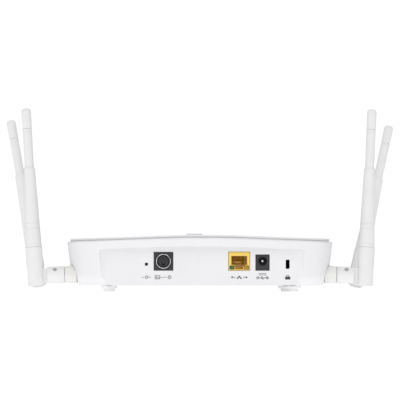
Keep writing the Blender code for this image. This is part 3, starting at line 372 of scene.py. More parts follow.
def extrude_ring(bm: BMesh, ring: list[BMVert], places: Sequence[Point]) -> list[BMVert]:
    """Extrude a closed ring of vertices to new places.

    Args:
        bm: Mesh that holds the ring.
        ring: The ring's vertices in order.
        places: Where the new vertices go, in the same order.

    Returns:
        The new ring's vertices in order.
    """
    edges = [bm.edges.get(pair) for pair in zip(ring, ring[1:] + ring[:1])]
    made = set(bmesh.ops.extrude_edge_only(bm, edges=edges)["geom"])
    fresh = [next(e.other_vert(v) for e in v.link_edges if e.other_vert(v) in made) for v in ring]
    for vert, place in zip(fresh, places):
        vert.co = place
    return fresh


def ring_edges(bm: BMesh, ring: list[BMVert]) -> list[bmesh.types.BMEdge]:
    """Edges of a closed ring of vertices."""
    return [bm.edges.get(pair) for pair in zip(ring, ring[1:] + ring[:1])]


def stacked(rings: Sequence[Sequence[Point]], bored: bool = False) -> BMesh:
    """Skin a stack of rings of equal length.

    Args:
        rings: Points of each ring, from one end to the other.
        bored: Join the last ring to the first in place of capping both.

    Returns:
        A closed mesh.
    """
    bm = bmesh.new()
    first = bmesh.ops.create_circle(bm, cap_ends=False, segments=len(rings[0]), radius=1.0)["verts"]
    for vert, place in zip(first, rings[0]):
        vert.co = place
    ring = first
    for places in [*rings[1:], *([rings[0]] if bored else [])]:
        ring = extrude_ring(bm, ring, places)
    if bored:
        bmesh.ops.remove_doubles(bm, verts=bm.verts, dist=FUSE)
    else:
        bmesh.ops.edgeloop_fill(bm, edges=ring_edges(bm, first))
        bmesh.ops.edgeloop_fill(bm, edges=ring_edges(bm, ring))
    bmesh.ops.recalc_face_normals(bm, faces=bm.faces)
    return bm


def turned(profile: Sequence[tuple[float, float, float]], segments: int = 64, bored: bool = False) -> BMesh:
    """Spin a profile about Z.

    Args:
        profile: Radius, height and rounding of each corner.
        segments: Steps of the full turn.
        bored: Close the profile on itself, for a shape with a hole along its axis.

    Returns:
        A closed mesh.
    """
    bm = bmesh.new()
    corners = [bm.verts.new((radius, 0.0, height)) for radius, height, _ in profile]
    following = corners[1:] + corners[:1] if bored else corners[1:]
    for start, end in zip(corners, following):
        bm.edges.new((start, end))
    for corner, (_, _, rounding) in zip(corners, profile):
        if rounding:
            bmesh.ops.bevel(
                bm,
                geom=[corner],
                offset=rounding,
                offset_type="OFFSET",
                segments=4,
                profile=0.5,
                affect="VERTICES",
                clamp_overlap=False,
                material=-1,
            )
    bmesh.ops.spin(
        bm,
        geom=[*bm.verts, *bm.edges],
        cent=(0.0, 0.0, 0.0),
        axis=(0.0, 0.0, 1.0),
        angle=math.tau,
        steps=segments,
        use_merge=True,
    )
    bmesh.ops.remove_doubles(bm, verts=bm.verts, dist=FUSE)
    bmesh.ops.recalc_face_normals(bm, faces=bm.faces)
    return bm


def cylinder(
    radius: float, bottom: float, top: float, segments: int = 48, end_radius: float | None = None
) -> BMesh:
    """Upright cylinder, or a cone when end_radius is given.

    Args:
        radius: Radius of the lower end.
        bottom: Height of the lower end.
        top: Height of the upper end.
        segments: Number of sides.
        end_radius: Radius of the upper end, if it differs.

    Returns:
        The closed shape about the Z axis.
    """
    bm = bmesh.new()
    wide = radius if end_radius is None else end_radius
    bmesh.ops.create_cone(
        bm, cap_ends=True, segments=segments, radius1=radius, radius2=wide, depth=top - bottom
    )
    bmesh.ops.translate(bm, vec=(0.0, 0.0, (bottom + top) / 2), verts=bm.verts)
    return bm


def along_y(bm: BMesh, x: float, z: float) -> BMesh:
    """Lay an upright shape down so that its height runs along +Y, about a line at x and z."""
    bm.transform(Matrix.Translation((x, 0.0, z)) @ Matrix.Rotation(-math.pi / 2, 4, "X"))
    return bm


def block(low: Point, high: Point, rounding: float = 0.0) -> BMesh:
    """Box between two corners.

    Args:
        low: Corner with the lowest coordinates.
        high: Corner with the highest.
        rounding: Radius of its edges.

    Returns:
        A closed mesh.
    """
    low, high = Vector(low), Vector(high)
    bm = bmesh.new()
    bmesh.ops.create_cube(bm, size=1.0)
    bmesh.ops.scale(bm, vec=high - low, verts=bm.verts)
    bmesh.ops.translate(bm, vec=(low + high) / 2, verts=bm.verts)
    if rounding:
        bmesh.ops.bevel(
            bm,
            geom=bm.edges[:],
            offset=rounding,
            offset_type="OFFSET",
            segments=3,
            profile=0.5,
            affect="EDGES",
            clamp_overlap=True,
            material=-1,
        )
    return bm


def slot_shape(
    size: tuple[float, float], place: tuple[float, float], span: tuple[float, float], corner: float
) -> BMesh:
    """Upright opening with rounded corners, along Y.

    Args:
        size: Width and height.
        place: X and Z of its middle.
        span: Y of its ends.
        corner: Radius of its corners.

    Returns:
        A closed mesh.
    """
    steps = 5
    half_x, half_z = size[0] / 2 - corner, size[1] / 2 - corner
    outline = []
    for quarter, (right, up) in enumerate(((1, 1), (-1, 1), (-1, -1), (1, -1))):
        for i in range(steps + 1):
            turn = math.pi / 2 * (quarter + i / steps)
            x = place[0] + right * half_x + corner * math.cos(turn)
            outline.append((x, place[1] + up * half_z + corner * math.sin(turn)))
    return stacked([[(x, y, z) for x, z in outline] for y in span])


def wire(points: Sequence[Point], radius: float, sides: int = 8) -> BMesh:
    """Round wire whose line lies in a plane of constant X.

    Args:
        points: The line's points.
        radius: The wire's radius.
        sides: Sides of its section.

    Returns:
        A closed mesh.
    """
    line = [Vector(point) for point in points]
    across = Vector((1.0, 0.0, 0.0))
    rings = []
    for i, point in enumerate(line):
        ahead = (line[min(i + 1, len(line) - 1)] - line[max(i - 1, 0)]).normalized()
        up = across.cross(ahead)
        turns = [math.tau * k / sides for k in range(sides)]
        rings.append([point + radius * (across * math.cos(turn) + up * math.sin(turn)) for turn in turns])
    return stacked(rings)


def gathered(parts: Iterable[BMesh]) -> BMesh:
    """Put several meshes into one, and free them.

    Args:
        parts: Meshes to put together.

    Returns:
        One mesh that holds them all.
    """
    whole = bmesh.new()
    for part in parts:
        passing = bpy.data.meshes.new("passing")
        part.to_mesh(passing)
        part.free()
        whole.from_mesh(passing)
        bpy.data.meshes.remove(passing)
    return whole


def helper(bm: BMesh) -> bpy.types.Object:
    """Put a mesh in the scene for a Boolean, and free it.

    Args:
        bm: Mesh to put in the scene.

    Returns:
        The object that holds it.
    """
    mesh = bpy.data.meshes.new("helper")
    bm.to_mesh(mesh)
    bm.free()
    made = bpy.data.objects.new("helper", mesh)
    bpy.context.scene.collection.objects.link(made)
    return made


def combined(base: BMesh, *steps: tuple[Solid, BMesh]) -> BMesh:
    """Change a solid by others, in order.

    Args:
        base: The solid to start from; it is freed.
        steps: How each further solid changes it, and that solid, which is freed.

    Returns:
        The changed solid.
    """
    target = helper(base)
    tools = []
    for way, tool in steps:
        tools.append(helper(tool))
        change = target.modifiers.new(way.name, "BOOLEAN")
        change.operation = way.value
        change.solver = "EXACT"
        change.object = tools[-1]
    graph = bpy.context.evaluated_depsgraph_get()
    result = bmesh.new()
    result.from_mesh(target.evaluated_get(graph).to_mesh())
    for used in (target, *tools):
        mesh = used.data
        bpy.data.objects.remove(used)
        bpy.data.meshes.remove(mesh)
    bmesh.ops.remove_doubles(result, verts=result.verts, dist=FUSE)
    bmesh.ops.dissolve_degenerate(result, dist=FUSE, edges=result.edges)
    return result


def add_piece(
    name: str, bm: BMesh, finish: Finish, body: str, *nodes: str, even: bool = False
) -> bpy.types.Object:
    """Turn a mesh into a finished piece of the access point.

    Args:
        name: The piece's name.
        bm: Its mesh, in the row frame; it is freed.
        finish: Its finish.
        body: The CAD body that it rides on.
        nodes: CAD nodes that it stands for.
        even: Keep large flat faces evenly lit beside small ones.

    Returns:
        The new object.
    """
    mesh = bpy.data.meshes.new(name)
    bm.to_mesh(mesh)
    bm.free()
    mesh.shade_smooth()
    mesh.set_sharp_from_angle(angle=CREASE)
    mesh.materials.append(finish.material())
    made = bpy.data.objects.new(name, mesh)
    bpy.context.scene.collection.objects.link(made)
    if even:
        made.modifiers.new("even", "WEIGHTED_NORMAL").keep_sharp = True
    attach(made, body)
    if nodes:
        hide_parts(*nodes)
    LOG.info("%s: %d faces", name, len(mesh.polygons))
    return made


# ---------------------------------------------------------------- case


@dataclass
class Case:
    """The tub with its recessed socket panel, the cover, the lamp window and the feet."""

    width: float = 205.5 * MM
    depth: float = 126 * MM
    corner_power: float = 3.8
    plan_points: int = 192
    rim_height: float = 36.1 * MM
    rim_arch: float = 2.8 * MM
    arch_reach: float = 64 * MM
    wall: float = 2.4 * MM
    floor: float = 2.4 * MM
    rim_band: float = 3.6 * MM
    rim_band_height: float = 7 * MM
    rim_round: float = 1.6 * MM
    draft: float = 0.13
    edge_height: float = 8.5 * MM
    edge_inset: float = 10 * MM
    panel_recess: float = 11 * MM
    panel_top: float = 29.5 * MM
    panel_wall: float = 2.2 * MM
    panel_curve: float = 6.0 * MM
    recess_corner: float = 2.6 * MM
    cover_wall: float = 2.2 * MM
    cover_groove: float = 0.7 * MM
    groove_depth: float = 0.6 * MM
    lip_gap: float = 0.15 * MM
    cover_inset: float = 2.6 * MM
    cover_edge: float = 1.4 * MM
    cover_crown: float = 0.6 * MM
    crown_start: float = 16 * MM
    skirt_drop: float = 3 * MM
    skirt_wall: float = 1.6 * MM
    lens_size: tuple[float, float] = (12 * MM, 5.5 * MM)
    lens_at: tuple[float, float] = (-5 * MM, -34 * MM)
    lens_proud: float = 0.8 * MM
    foot_height: float = 4.9 * MM
    foot_radius: float = 6.5 * MM
    pad_radius: float = 4.3 * MM
    peg_radius: float = 1.9 * MM
    post_radius: float = 4.6 * MM
    post_height: float = 17 * MM
    screw_radius: float = 1.4 * MM
    head_radius: float = 2.8 * MM
    head_height: float = 2 * MM
    head_depth: float = 8 * MM
    screw_reach: float = 9 * MM
    standoff_radius: float = 3.4 * MM
    land_groove: tuple[float, float] = (1.0 * MM, 0.6 * MM)

    @property
    def panel_y(self) -> float:
        """Place of the flat socket panel."""
        return -self.depth / 2 + self.panel_recess

    @property
    def panel_half(self) -> float:
        """Half the flat panel's width."""
        return (self.width - 60.5 * MM) / 2

    @property
    def posts(self) -> tuple[float, float]:
        """Place of the front right screw post."""
        return self.width / 2 - 46.25 * MM, self.depth / 2 - 24 * MM

    @property
    def feet(self) -> tuple[float, float]:
        """Place of the front right foot."""
        return self.width / 2 - 32.5 * MM, self.depth / 2 - 29 * MM

    def corners(self, place: tuple[float, float]) -> dict[str, tuple[float, float]]:
        """Mirror a place into the four corners, by name."""
        x, y = place
        return {"rear_left": (-x, -y), "rear_right": (x, -y), "front_left": (-x, y), "front_right": (x, y)}

    def plan_point(self, turn: float, inset: float) -> tuple[float, float]:
        """Point of the outline seen from above, a superellipse drawn in by inset.

        Args:
            turn: Angle round the outline.
            inset: Distance to draw the outline in.

        Returns:
            The point's X and Y.
        """
        power = 2 / self.corner_power
        across, along = math.cos(turn), math.sin(turn)
        x = (self.width / 2 - inset) * abs(across) ** power
        y = (self.depth / 2 - inset) * abs(along) ** power
        return math.copysign(x, across), math.copysign(y, along)

    def turns(self) -> list[float]:
        """Angles of the outline's points."""
        return [math.tau * (i + 0.5) / self.plan_points for i in range(self.plan_points)]

    def arch_fall(self, x: float) -> float:
        """How far the rim has fallen at a distance from the middle."""
        return self.rim_arch * (1 - math.exp(-((x / self.arch_reach) ** 2)))

    def side_height(self) -> float:
        """Height of the rim at the case's sides."""
        return self.rim_height - self.arch_fall(self.width / 2)

    def wall_inset(self, height: float) -> float:
        """How far the outer wall stands in from the rim's outline at a height.

        Args:
            height: Height above the underside.

        Returns:
            The distance, which grows towards the rounded bottom edge.
        """
        if height >= self.edge_height:
            return self.draft * (self.side_height() - height)
        start = self.draft * (self.side_height() - self.edge_height)
        rise = (self.edge_height - height) / self.edge_height
        return start + self.edge_inset * (1 - math.sqrt(1 - rise * rise))

    def level_ring(self, height: float, inset: float) -> list[Point]:
        """Ring at one height, inset from the outer wall there."""
        drawn = self.wall_inset(height) + inset
        return [(*self.plan_point(turn, drawn), height) for turn in self.turns()]

    def raised_ring(self, height: float, inset: float, lift: float) -> list[Point]:
        """Ring inset from the outer wall at one height, set lift above that height."""
        return [(x, y, height + lift) for x, y, _ in self.level_ring(height, inset)]

    def rim_ring(self, inset: float, lift: float) -> list[Point]:
        """Ring that follows the arched rim, lift above it and inset from the wall there.

        Args:
            inset: Distance in from the wall.
            lift: Height above the rim.

        Returns:
            The ring's points in order.
        """
        ring = []
        for turn in self.turns():
            rough = self.plan_point(turn, inset)
            height = self.rim_height - self.arch_fall(rough[0]) + lift
            x, y = self.plan_point(turn, inset + self.wall_inset(height))
            ring.append((x, y, self.rim_height - self.arch_fall(x) + lift))
        return ring

    def edge_heights(self) -> list[float]:
        """Heights of the rings round the bottom edge."""
        steps = 10
        return [self.edge_height * (1 - math.cos(math.pi / 2 * i / steps)) for i in range(steps + 1)]

    def tub_skin(self) -> BMesh:
        """Tub with its floor, walls and rounded rim, still without openings.

        Returns:
            The closed tub.
        """
        rings = [self.level_ring(height, 0.0) for height in self.edge_heights()]
        rings.append(self.level_ring(self.side_height() * 0.6, 0.0))
        steps, radius = 5, self.rim_round
        for i in range(steps + 1):
            turn = math.pi / 2 * i / steps
            rings.append(self.rim_ring(radius * (1 - math.cos(turn)), radius * (math.sin(turn) - 1)))
        rings.append(self.rim_ring(self.rim_band - 0.3 * MM, 0.0))
        rings.append(self.rim_ring(self.rim_band, -0.3 * MM))
        band_foot = self.side_height() - self.rim_band_height
        rings.append(self.level_ring(band_foot, self.rim_band))
        rings.append(self.level_ring(band_foot - (self.rim_band - self.wall), self.wall))
        for height in reversed(self.edge_heights()):
            rings.append(self.raised_ring(height, self.wall, self.floor))
        return stacked(rings)

    def recess_ring(self, half: float, y: float, grow: float) -> list[Point]:
        """Outline of the recess across the case: open below, with an arched top edge.

        Args:
            half: Half its width.
            y: Its place along Y.
            grow: How much higher than the recess its top edge is.

        Returns:
            The outline's points.
        """
        round_steps, steps, low = 6, 28, -10 * MM
        radius = self.recess_corner
        reach = half - radius
        top = self.panel_top + grow
        shoulder = top - self.arch_fall(reach)
        turns = [math.pi / 2 * i / round_steps for i in range(round_steps)]
        left = [(-reach - radius * math.cos(t), shoulder - radius * (1 - math.sin(t))) for t in turns]
        spread = [-reach + 2 * reach * i / steps for i in range(steps + 1)]
        arch = [(x, top - self.arch_fall(x)) for x in spread]
        right = [(-x, z) for x, z in reversed(left)]
        return [(x, y, z) for x, z in [(half, low), (-half, low), *left, *arch, *right]]

    def recess(self, grow: float) -> BMesh:
        """Space in front of the socket panel, whose ends curve forward into side walls.

        Args:
            grow: How much larger it is all round, to leave a wall behind the panel.

        Returns:
            A closed mesh.
        """
        flat, radius = self.panel_half, self.panel_curve + grow
        rings = [self.recess_ring(flat + radius, -self.depth / 2 - 6 * MM, grow)]
        steps, edge = 12, 0.8 * MM
        for i in range(steps + 1):
            turn = math.pi / 2 * i / steps
            half = flat + radius * math.cos(turn)
            y = self.panel_y - self.panel_curve + radius * math.sin(turn)
            ahead = min(1.0, max(0.0, y - (self.panel_y + grow - edge)) / edge)
            rings.append(self.recess_ring(half, y, grow - edge * (1 - math.sqrt(1 - ahead**2))))
        return stacked(rings)

    def backing(self) -> BMesh:
        """Wall behind the recess, kept inside the tub's outer skin.

        Returns:
            The wall as one closed solid.
        """
        under = 0.05 * MM
        heights = [*self.edge_heights(), self.panel_top + 5 * MM]
        core = stacked([self.raised_ring(height, under, 0.0) for height in heights])
        return combined(core, (Solid.KEEP, self.recess(self.panel_wall)))

    def panel_foot(self, shrink: float) -> BMesh:
        """Block that carries the flat panel down to the underside, past the rounded edge.

        Args:
            shrink: Distance to draw the block in, or 0 for its outside.

        Returns:
            The block.
        """
        half = self.panel_half - shrink
        low = (-half, self.panel_y + shrink, self.floor if shrink else 0.0)
        top = self.panel_top - self.rim_arch - 2 * MM
        return block(low, (half, self.panel_y + 22 * MM, top))

    def pillars(self) -> list[BMesh]:
        """Screw posts, board standoffs and the thick wall behind each antenna seat.

        Returns:
            One solid for each post, standoff and seat.
        """
        made = []
        board = (self.width / 2 - 37.25 * MM, self.depth / 2 - 38 * MM)
        peg_y = -(self.depth / 2 - 37 * MM)
        standoff_top = Sockets.board_top - Sockets.board_wall - GAP
        places = [(x, y, self.post_radius, self.post_height) for x, y in self.corners(self.posts).values()]
        for side in (-1, 1):
            places.append((side * board[0], board[1], self.standoff_radius, standoff_top))
            places.append((side * board[0], peg_y, self.standoff_radius, standoff_top))
        for x, y, radius, top in places:
            pillar = cylinder(radius, self.floor / 2, top)
            bmesh.ops.translate(pillar, vec=(x, y, 0.0), verts=pillar.verts)
            made.append(pillar)
        for antenna in Antenna.all():
            seat = antenna.seat()
            backing = cylinder(antenna.seat_radius, -(seat + antenna.seat_back), -(seat + 0.6 * MM))
            backing.transform(antenna.connector_frame())
            made.append(backing)
        return made

    def holes(self) -> list[BMesh]:
        """Counterbores, shank holes, peg holes and the groove round the bracket's land.

        Returns:
            One cutter for each hole, and one for the groove.
        """
        made = []
        seat = self.post_height - self.head_depth
        for name in self.corners(self.posts):
            x, y = self.corners(self.posts)[name]
            hole = turned(
                [
                    (0.0, self.post_height + MM, 0.0),
                    (self.screw_radius + RUN, self.post_height + MM, 0.0),
                    (self.screw_radius + RUN, seat, 0.0),
                    (self.head_radius + RUN, seat, 0.0),
                    (self.head_radius + RUN, 0.5 * MM, 0.0),
                    (self.head_radius + RUN + 1.0 * MM, -0.5 * MM, 0.0),
                    (0.0, -0.5 * MM, 0.0),
                ],
                32,
            )
            bmesh.ops.translate(hole, vec=(x, y, 0.0), verts=hole.verts)
            made.append(hole)
        for x, y in self.corners(self.feet).values():
            hole = cylinder(self.peg_radius + RUN, -MM, self.floor + MM, 24)
            bmesh.ops.translate(hole, vec=(x, y, 0.0), verts=hole.verts)
            made.append(hole)
        wide, deep = self.land_groove
        half_x, half_y = (self.width - 115.5 * MM) / 2, (self.depth - 66 * MM) / 2
        outer = block((-half_x - wide, -half_y - wide, -MM), (half_x + wide, half_y + wide, deep))
        inner = block((-half_x, -half_y, -2 * MM), (half_x, half_y, 2 * MM))
        made.append(combined(outer, (Solid.CUT, inner)))
        return made

    def base(self) -> None:
        """Tub with its panel, posts and openings."""
        openings = [*Sockets(self.panel_y).openings(), *self.holes()]
        openings += [antenna.case_hole() for antenna in Antenna.all()]
        shell = combined(
            self.tub_skin(),
            (Solid.UNITE, self.backing()),
            (Solid.UNITE, self.panel_foot(0.0)),
            (Solid.CUT, self.panel_foot(self.panel_wall)),
            (Solid.CUT, self.recess(0.0)),
            (Solid.UNITE, gathered(self.pillars())),
            (Solid.CUT, gathered(openings)),
        )
        add_piece("case_tub", shell, Finish.CASE, "case", "base_shell", even=True)

    def cover_lift(self, inset: float) -> float:
        """Height of the cover's outside above the rim at a distance from the wall."""
        share = min(1.0, max(0.0, (inset - self.cover_inset) / (44 * MM)))
        return self.cover_groove + self.cover_edge + self.cover_crown * math.sin(share * math.pi / 2)

    def crown_ring(self, share: float, lift: float) -> list[Point]:
        """Ring of the cover's middle, where the crown starts, shrunk towards the centre.

        Args:
            share: Size of the ring, from 0 at the centre to 1 where the crown starts.
            lift: How far it is above the cover's outside.

        Returns:
            The ring's points.
        """
        start = self.cover_lift(self.crown_start)
        rise = (self.cover_lift(self.depth / 2) - start) * math.cos(share * math.pi / 2)
        ring = []
        for x, y, _ in self.rim_ring(self.crown_start, 0.0):
            height = self.rim_height - self.arch_fall(x * share) + start + rise + lift
            ring.append((x * share, y * share, height))
        return ring

    def cover(self) -> None:
        """Cover with a rounded edge, a skirt inside the rim and its screw posts."""
        skirt_out = self.rim_band + 0.4 * MM
        skirt_in = skirt_out + self.skirt_wall
        spread = [9 * MM, self.crown_start]
        shares = [0.86, 0.68, 0.48, 0.28, 0.1]
        rings = [self.crown_ring(share, -self.cover_wall) for share in reversed(shares)]
        for inset in reversed(spread):
            rings.append(self.rim_ring(inset, self.cover_lift(inset) - self.cover_wall))
        rings.append(self.rim_ring(skirt_in, self.cover_groove + self.cover_edge - self.cover_wall))
        rings.append(self.rim_ring(skirt_in, -self.skirt_drop))
        rings.append(self.rim_ring(skirt_out, -self.skirt_drop))
        rings.append(self.rim_ring(skirt_out, self.lip_gap))
        rings.append(self.rim_ring(self.cover_inset + self.groove_depth, self.lip_gap))
        rings.append(self.rim_ring(self.cover_inset + self.groove_depth, self.cover_groove))
        rings.append(self.rim_ring(self.cover_inset + 0.2 * MM, self.cover_groove))
        rings.append(self.rim_ring(self.cover_inset, self.cover_groove + 0.2 * MM))
        steps, radius = 5, 0.4 * MM
        for i in range(steps + 1):
            turn = math.pi / 2 * i / steps
            inset = self.cover_inset + radius * (1 - math.cos(turn))
            rings.append(self.rim_ring(inset, self.cover_lift(inset) + radius * (math.sin(turn) - 1)))
        rings += [self.rim_ring(inset, self.cover_lift(inset)) for inset in (5 * MM, *spread)]
        rings += [self.crown_ring(share, 0.0) for share in shares]
        posts, pilots = [], []
        for x, y in self.corners(self.posts).values():
            foot = self.post_height + GAP
            top = self.rim_height - self.arch_fall(x) + self.cover_edge
            post = cylinder(self.post_radius, foot, top)
            pilot = cylinder(self.screw_radius + RUN, foot - MM, foot + self.screw_reach + MM, 24)
            for part in (post, pilot):
                bmesh.ops.translate(part, vec=(x, y, 0.0), verts=part.verts)
            posts.append(post)
            pilots.append(pilot)
        pilots.append(self.lens_shape(((-8 * MM, GAP), (5 * MM, GAP))))
        lid = combined(stacked(rings), (Solid.UNITE, gathered(posts)), (Solid.CUT, gathered(pilots)))
        add_piece("case_cover", lid, Finish.CASE, "case", "top_cover", even=True)

    def lens_shape(self, levels: Sequence[tuple[float, float]]) -> BMesh:
        """Body with the lamp window's outline.

        Args:
            levels: Height above the cover and growth of each ring, from below.

        Returns:
            A closed mesh.
        """
        cover = self.rim_height - self.arch_fall(self.lens_at[0])
        cover += self.cover_groove + self.cover_edge + self.cover_crown
        steps = 12
        rings = []
        for height, grow in levels:
            half_width, radius = self.lens_size[0] / 2 + grow, self.lens_size[1] / 2 + grow
            arc = [-math.pi / 2 + math.pi * i / steps for i in range(steps + 1)]
            half = [(half_width - radius + radius * math.cos(turn), radius * math.sin(turn)) for turn in arc]
            ring = half + [(-x, -y) for x, y in half]
            rings.append([(self.lens_at[0] + x, self.lens_at[1] + y, cover + height) for x, y in ring])
        return stacked(rings)

    def lens(self) -> None:
        """Lamp window with a domed face."""
        proud = self.lens_proud
        levels = [(-self.cover_wall - MM, 0.0), (proud - 0.5 * MM, 0.0)]
        levels += [(proud - 0.22 * MM, -0.08 * MM), (proud - 0.07 * MM, -0.25 * MM), (proud, -0.6 * MM)]
        add_piece("lamp_window", self.lens_shape(levels), Finish.LENS, "case", "status_lens")

    def foot(self, name: str, spot: tuple[float, float]) -> None:
        """Soft foot with a domed flange, a fine lip and a smaller pad.

        Args:
            name: Corner that the foot stands in.
            spot: The foot's X and Y.
        """
        top, ground = -GAP, -self.foot_height
        made = turned(
            [
                (0.0, top + self.floor - 0.4 * MM, 0.0),
                (self.peg_radius, top + self.floor - 0.4 * MM, 0.3 * MM),
                (self.peg_radius, top, 0.0),
                (self.foot_radius, top, 0.25 * MM),
                (self.foot_radius * 0.97, top - 1.2 * MM, 0.3 * MM),
                (self.foot_radius * 0.78, top - 2.1 * MM, 0.5 * MM),
                (self.pad_radius, top - 2.3 * MM, 0.2 * MM),
                (self.pad_radius - 0.1 * MM, ground, 0.5 * MM),
                (self.pad_radius - 1.4 * MM, ground, 0.15 * MM),
                (self.pad_radius - 1.6 * MM, ground + 0.25 * MM, 0.15 * MM),
                (0.0, ground + 0.25 * MM, 0.0),
            ],
            48,
        )
        bmesh.ops.translate(made, vec=(*spot, 0.0), verts=made.verts)
        add_piece(f"rubber_foot_{name}", made, Finish.FOOT, "case", f"foot_{name}")

    def screw(self, name: str, spot: tuple[float, float]) -> None:
        """Pan-head screw with a cross recess, driven up into the cover's post.

        Args:
            name: Corner that the screw is in.
            spot: The screw's X and Y.
        """
        seat = self.post_height - self.head_depth - GAP
        reach = self.post_height + self.screw_reach - (self.post_height - self.head_depth)
        thread = []
        pitch = 1.0 * MM
        for i in range(int((reach - 3 * MM) / pitch)):
            low = reach - 1.6 * MM - pitch * i
            thread += [(self.screw_radius, low, 0.0), (self.screw_radius - 0.25 * MM, low - pitch / 2, 0.0)]
        body = turned(
            [
                (0.0, reach, 0.0),
                (self.screw_radius * 0.4, reach, 0.1 * MM),
                *thread,
                (self.screw_radius, 0.0, 0.0),
                (self.head_radius, 0.0, 0.15 * MM),
                (self.head_radius, -self.head_height * 0.55, 0.3 * MM),
                (self.head_radius * 0.65, -self.head_height, 0.5 * MM),
                (0.0, -self.head_height, 0.0),
            ],
            32,
        )
        cross = []
        for wide, long in ((0.5 * MM, 1.7 * MM), (1.7 * MM, 0.5 * MM)):
            cross.append((Solid.CUT, block((-wide, -long, -self.head_height - MM), (wide, long, -0.9 * MM))))
        made = combined(body, *cross)
        bmesh.ops.translate(made, vec=(*spot, seat), verts=made.verts)
        add_piece(f"cover_screw_{name}", made, Finish.STEEL, "case", f"case_screw_{name}")

    def build(self) -> None:
        """Make every piece of the case."""
        self.base()
        self.cover()
        self.lens()
        for name, spot in self.corners(self.feet).items():
            self.foot(name, spot)
        for name, spot in self.corners(self.posts).items():
            self.screw(name, spot)


# ---------------------------------------------------------------- sockets


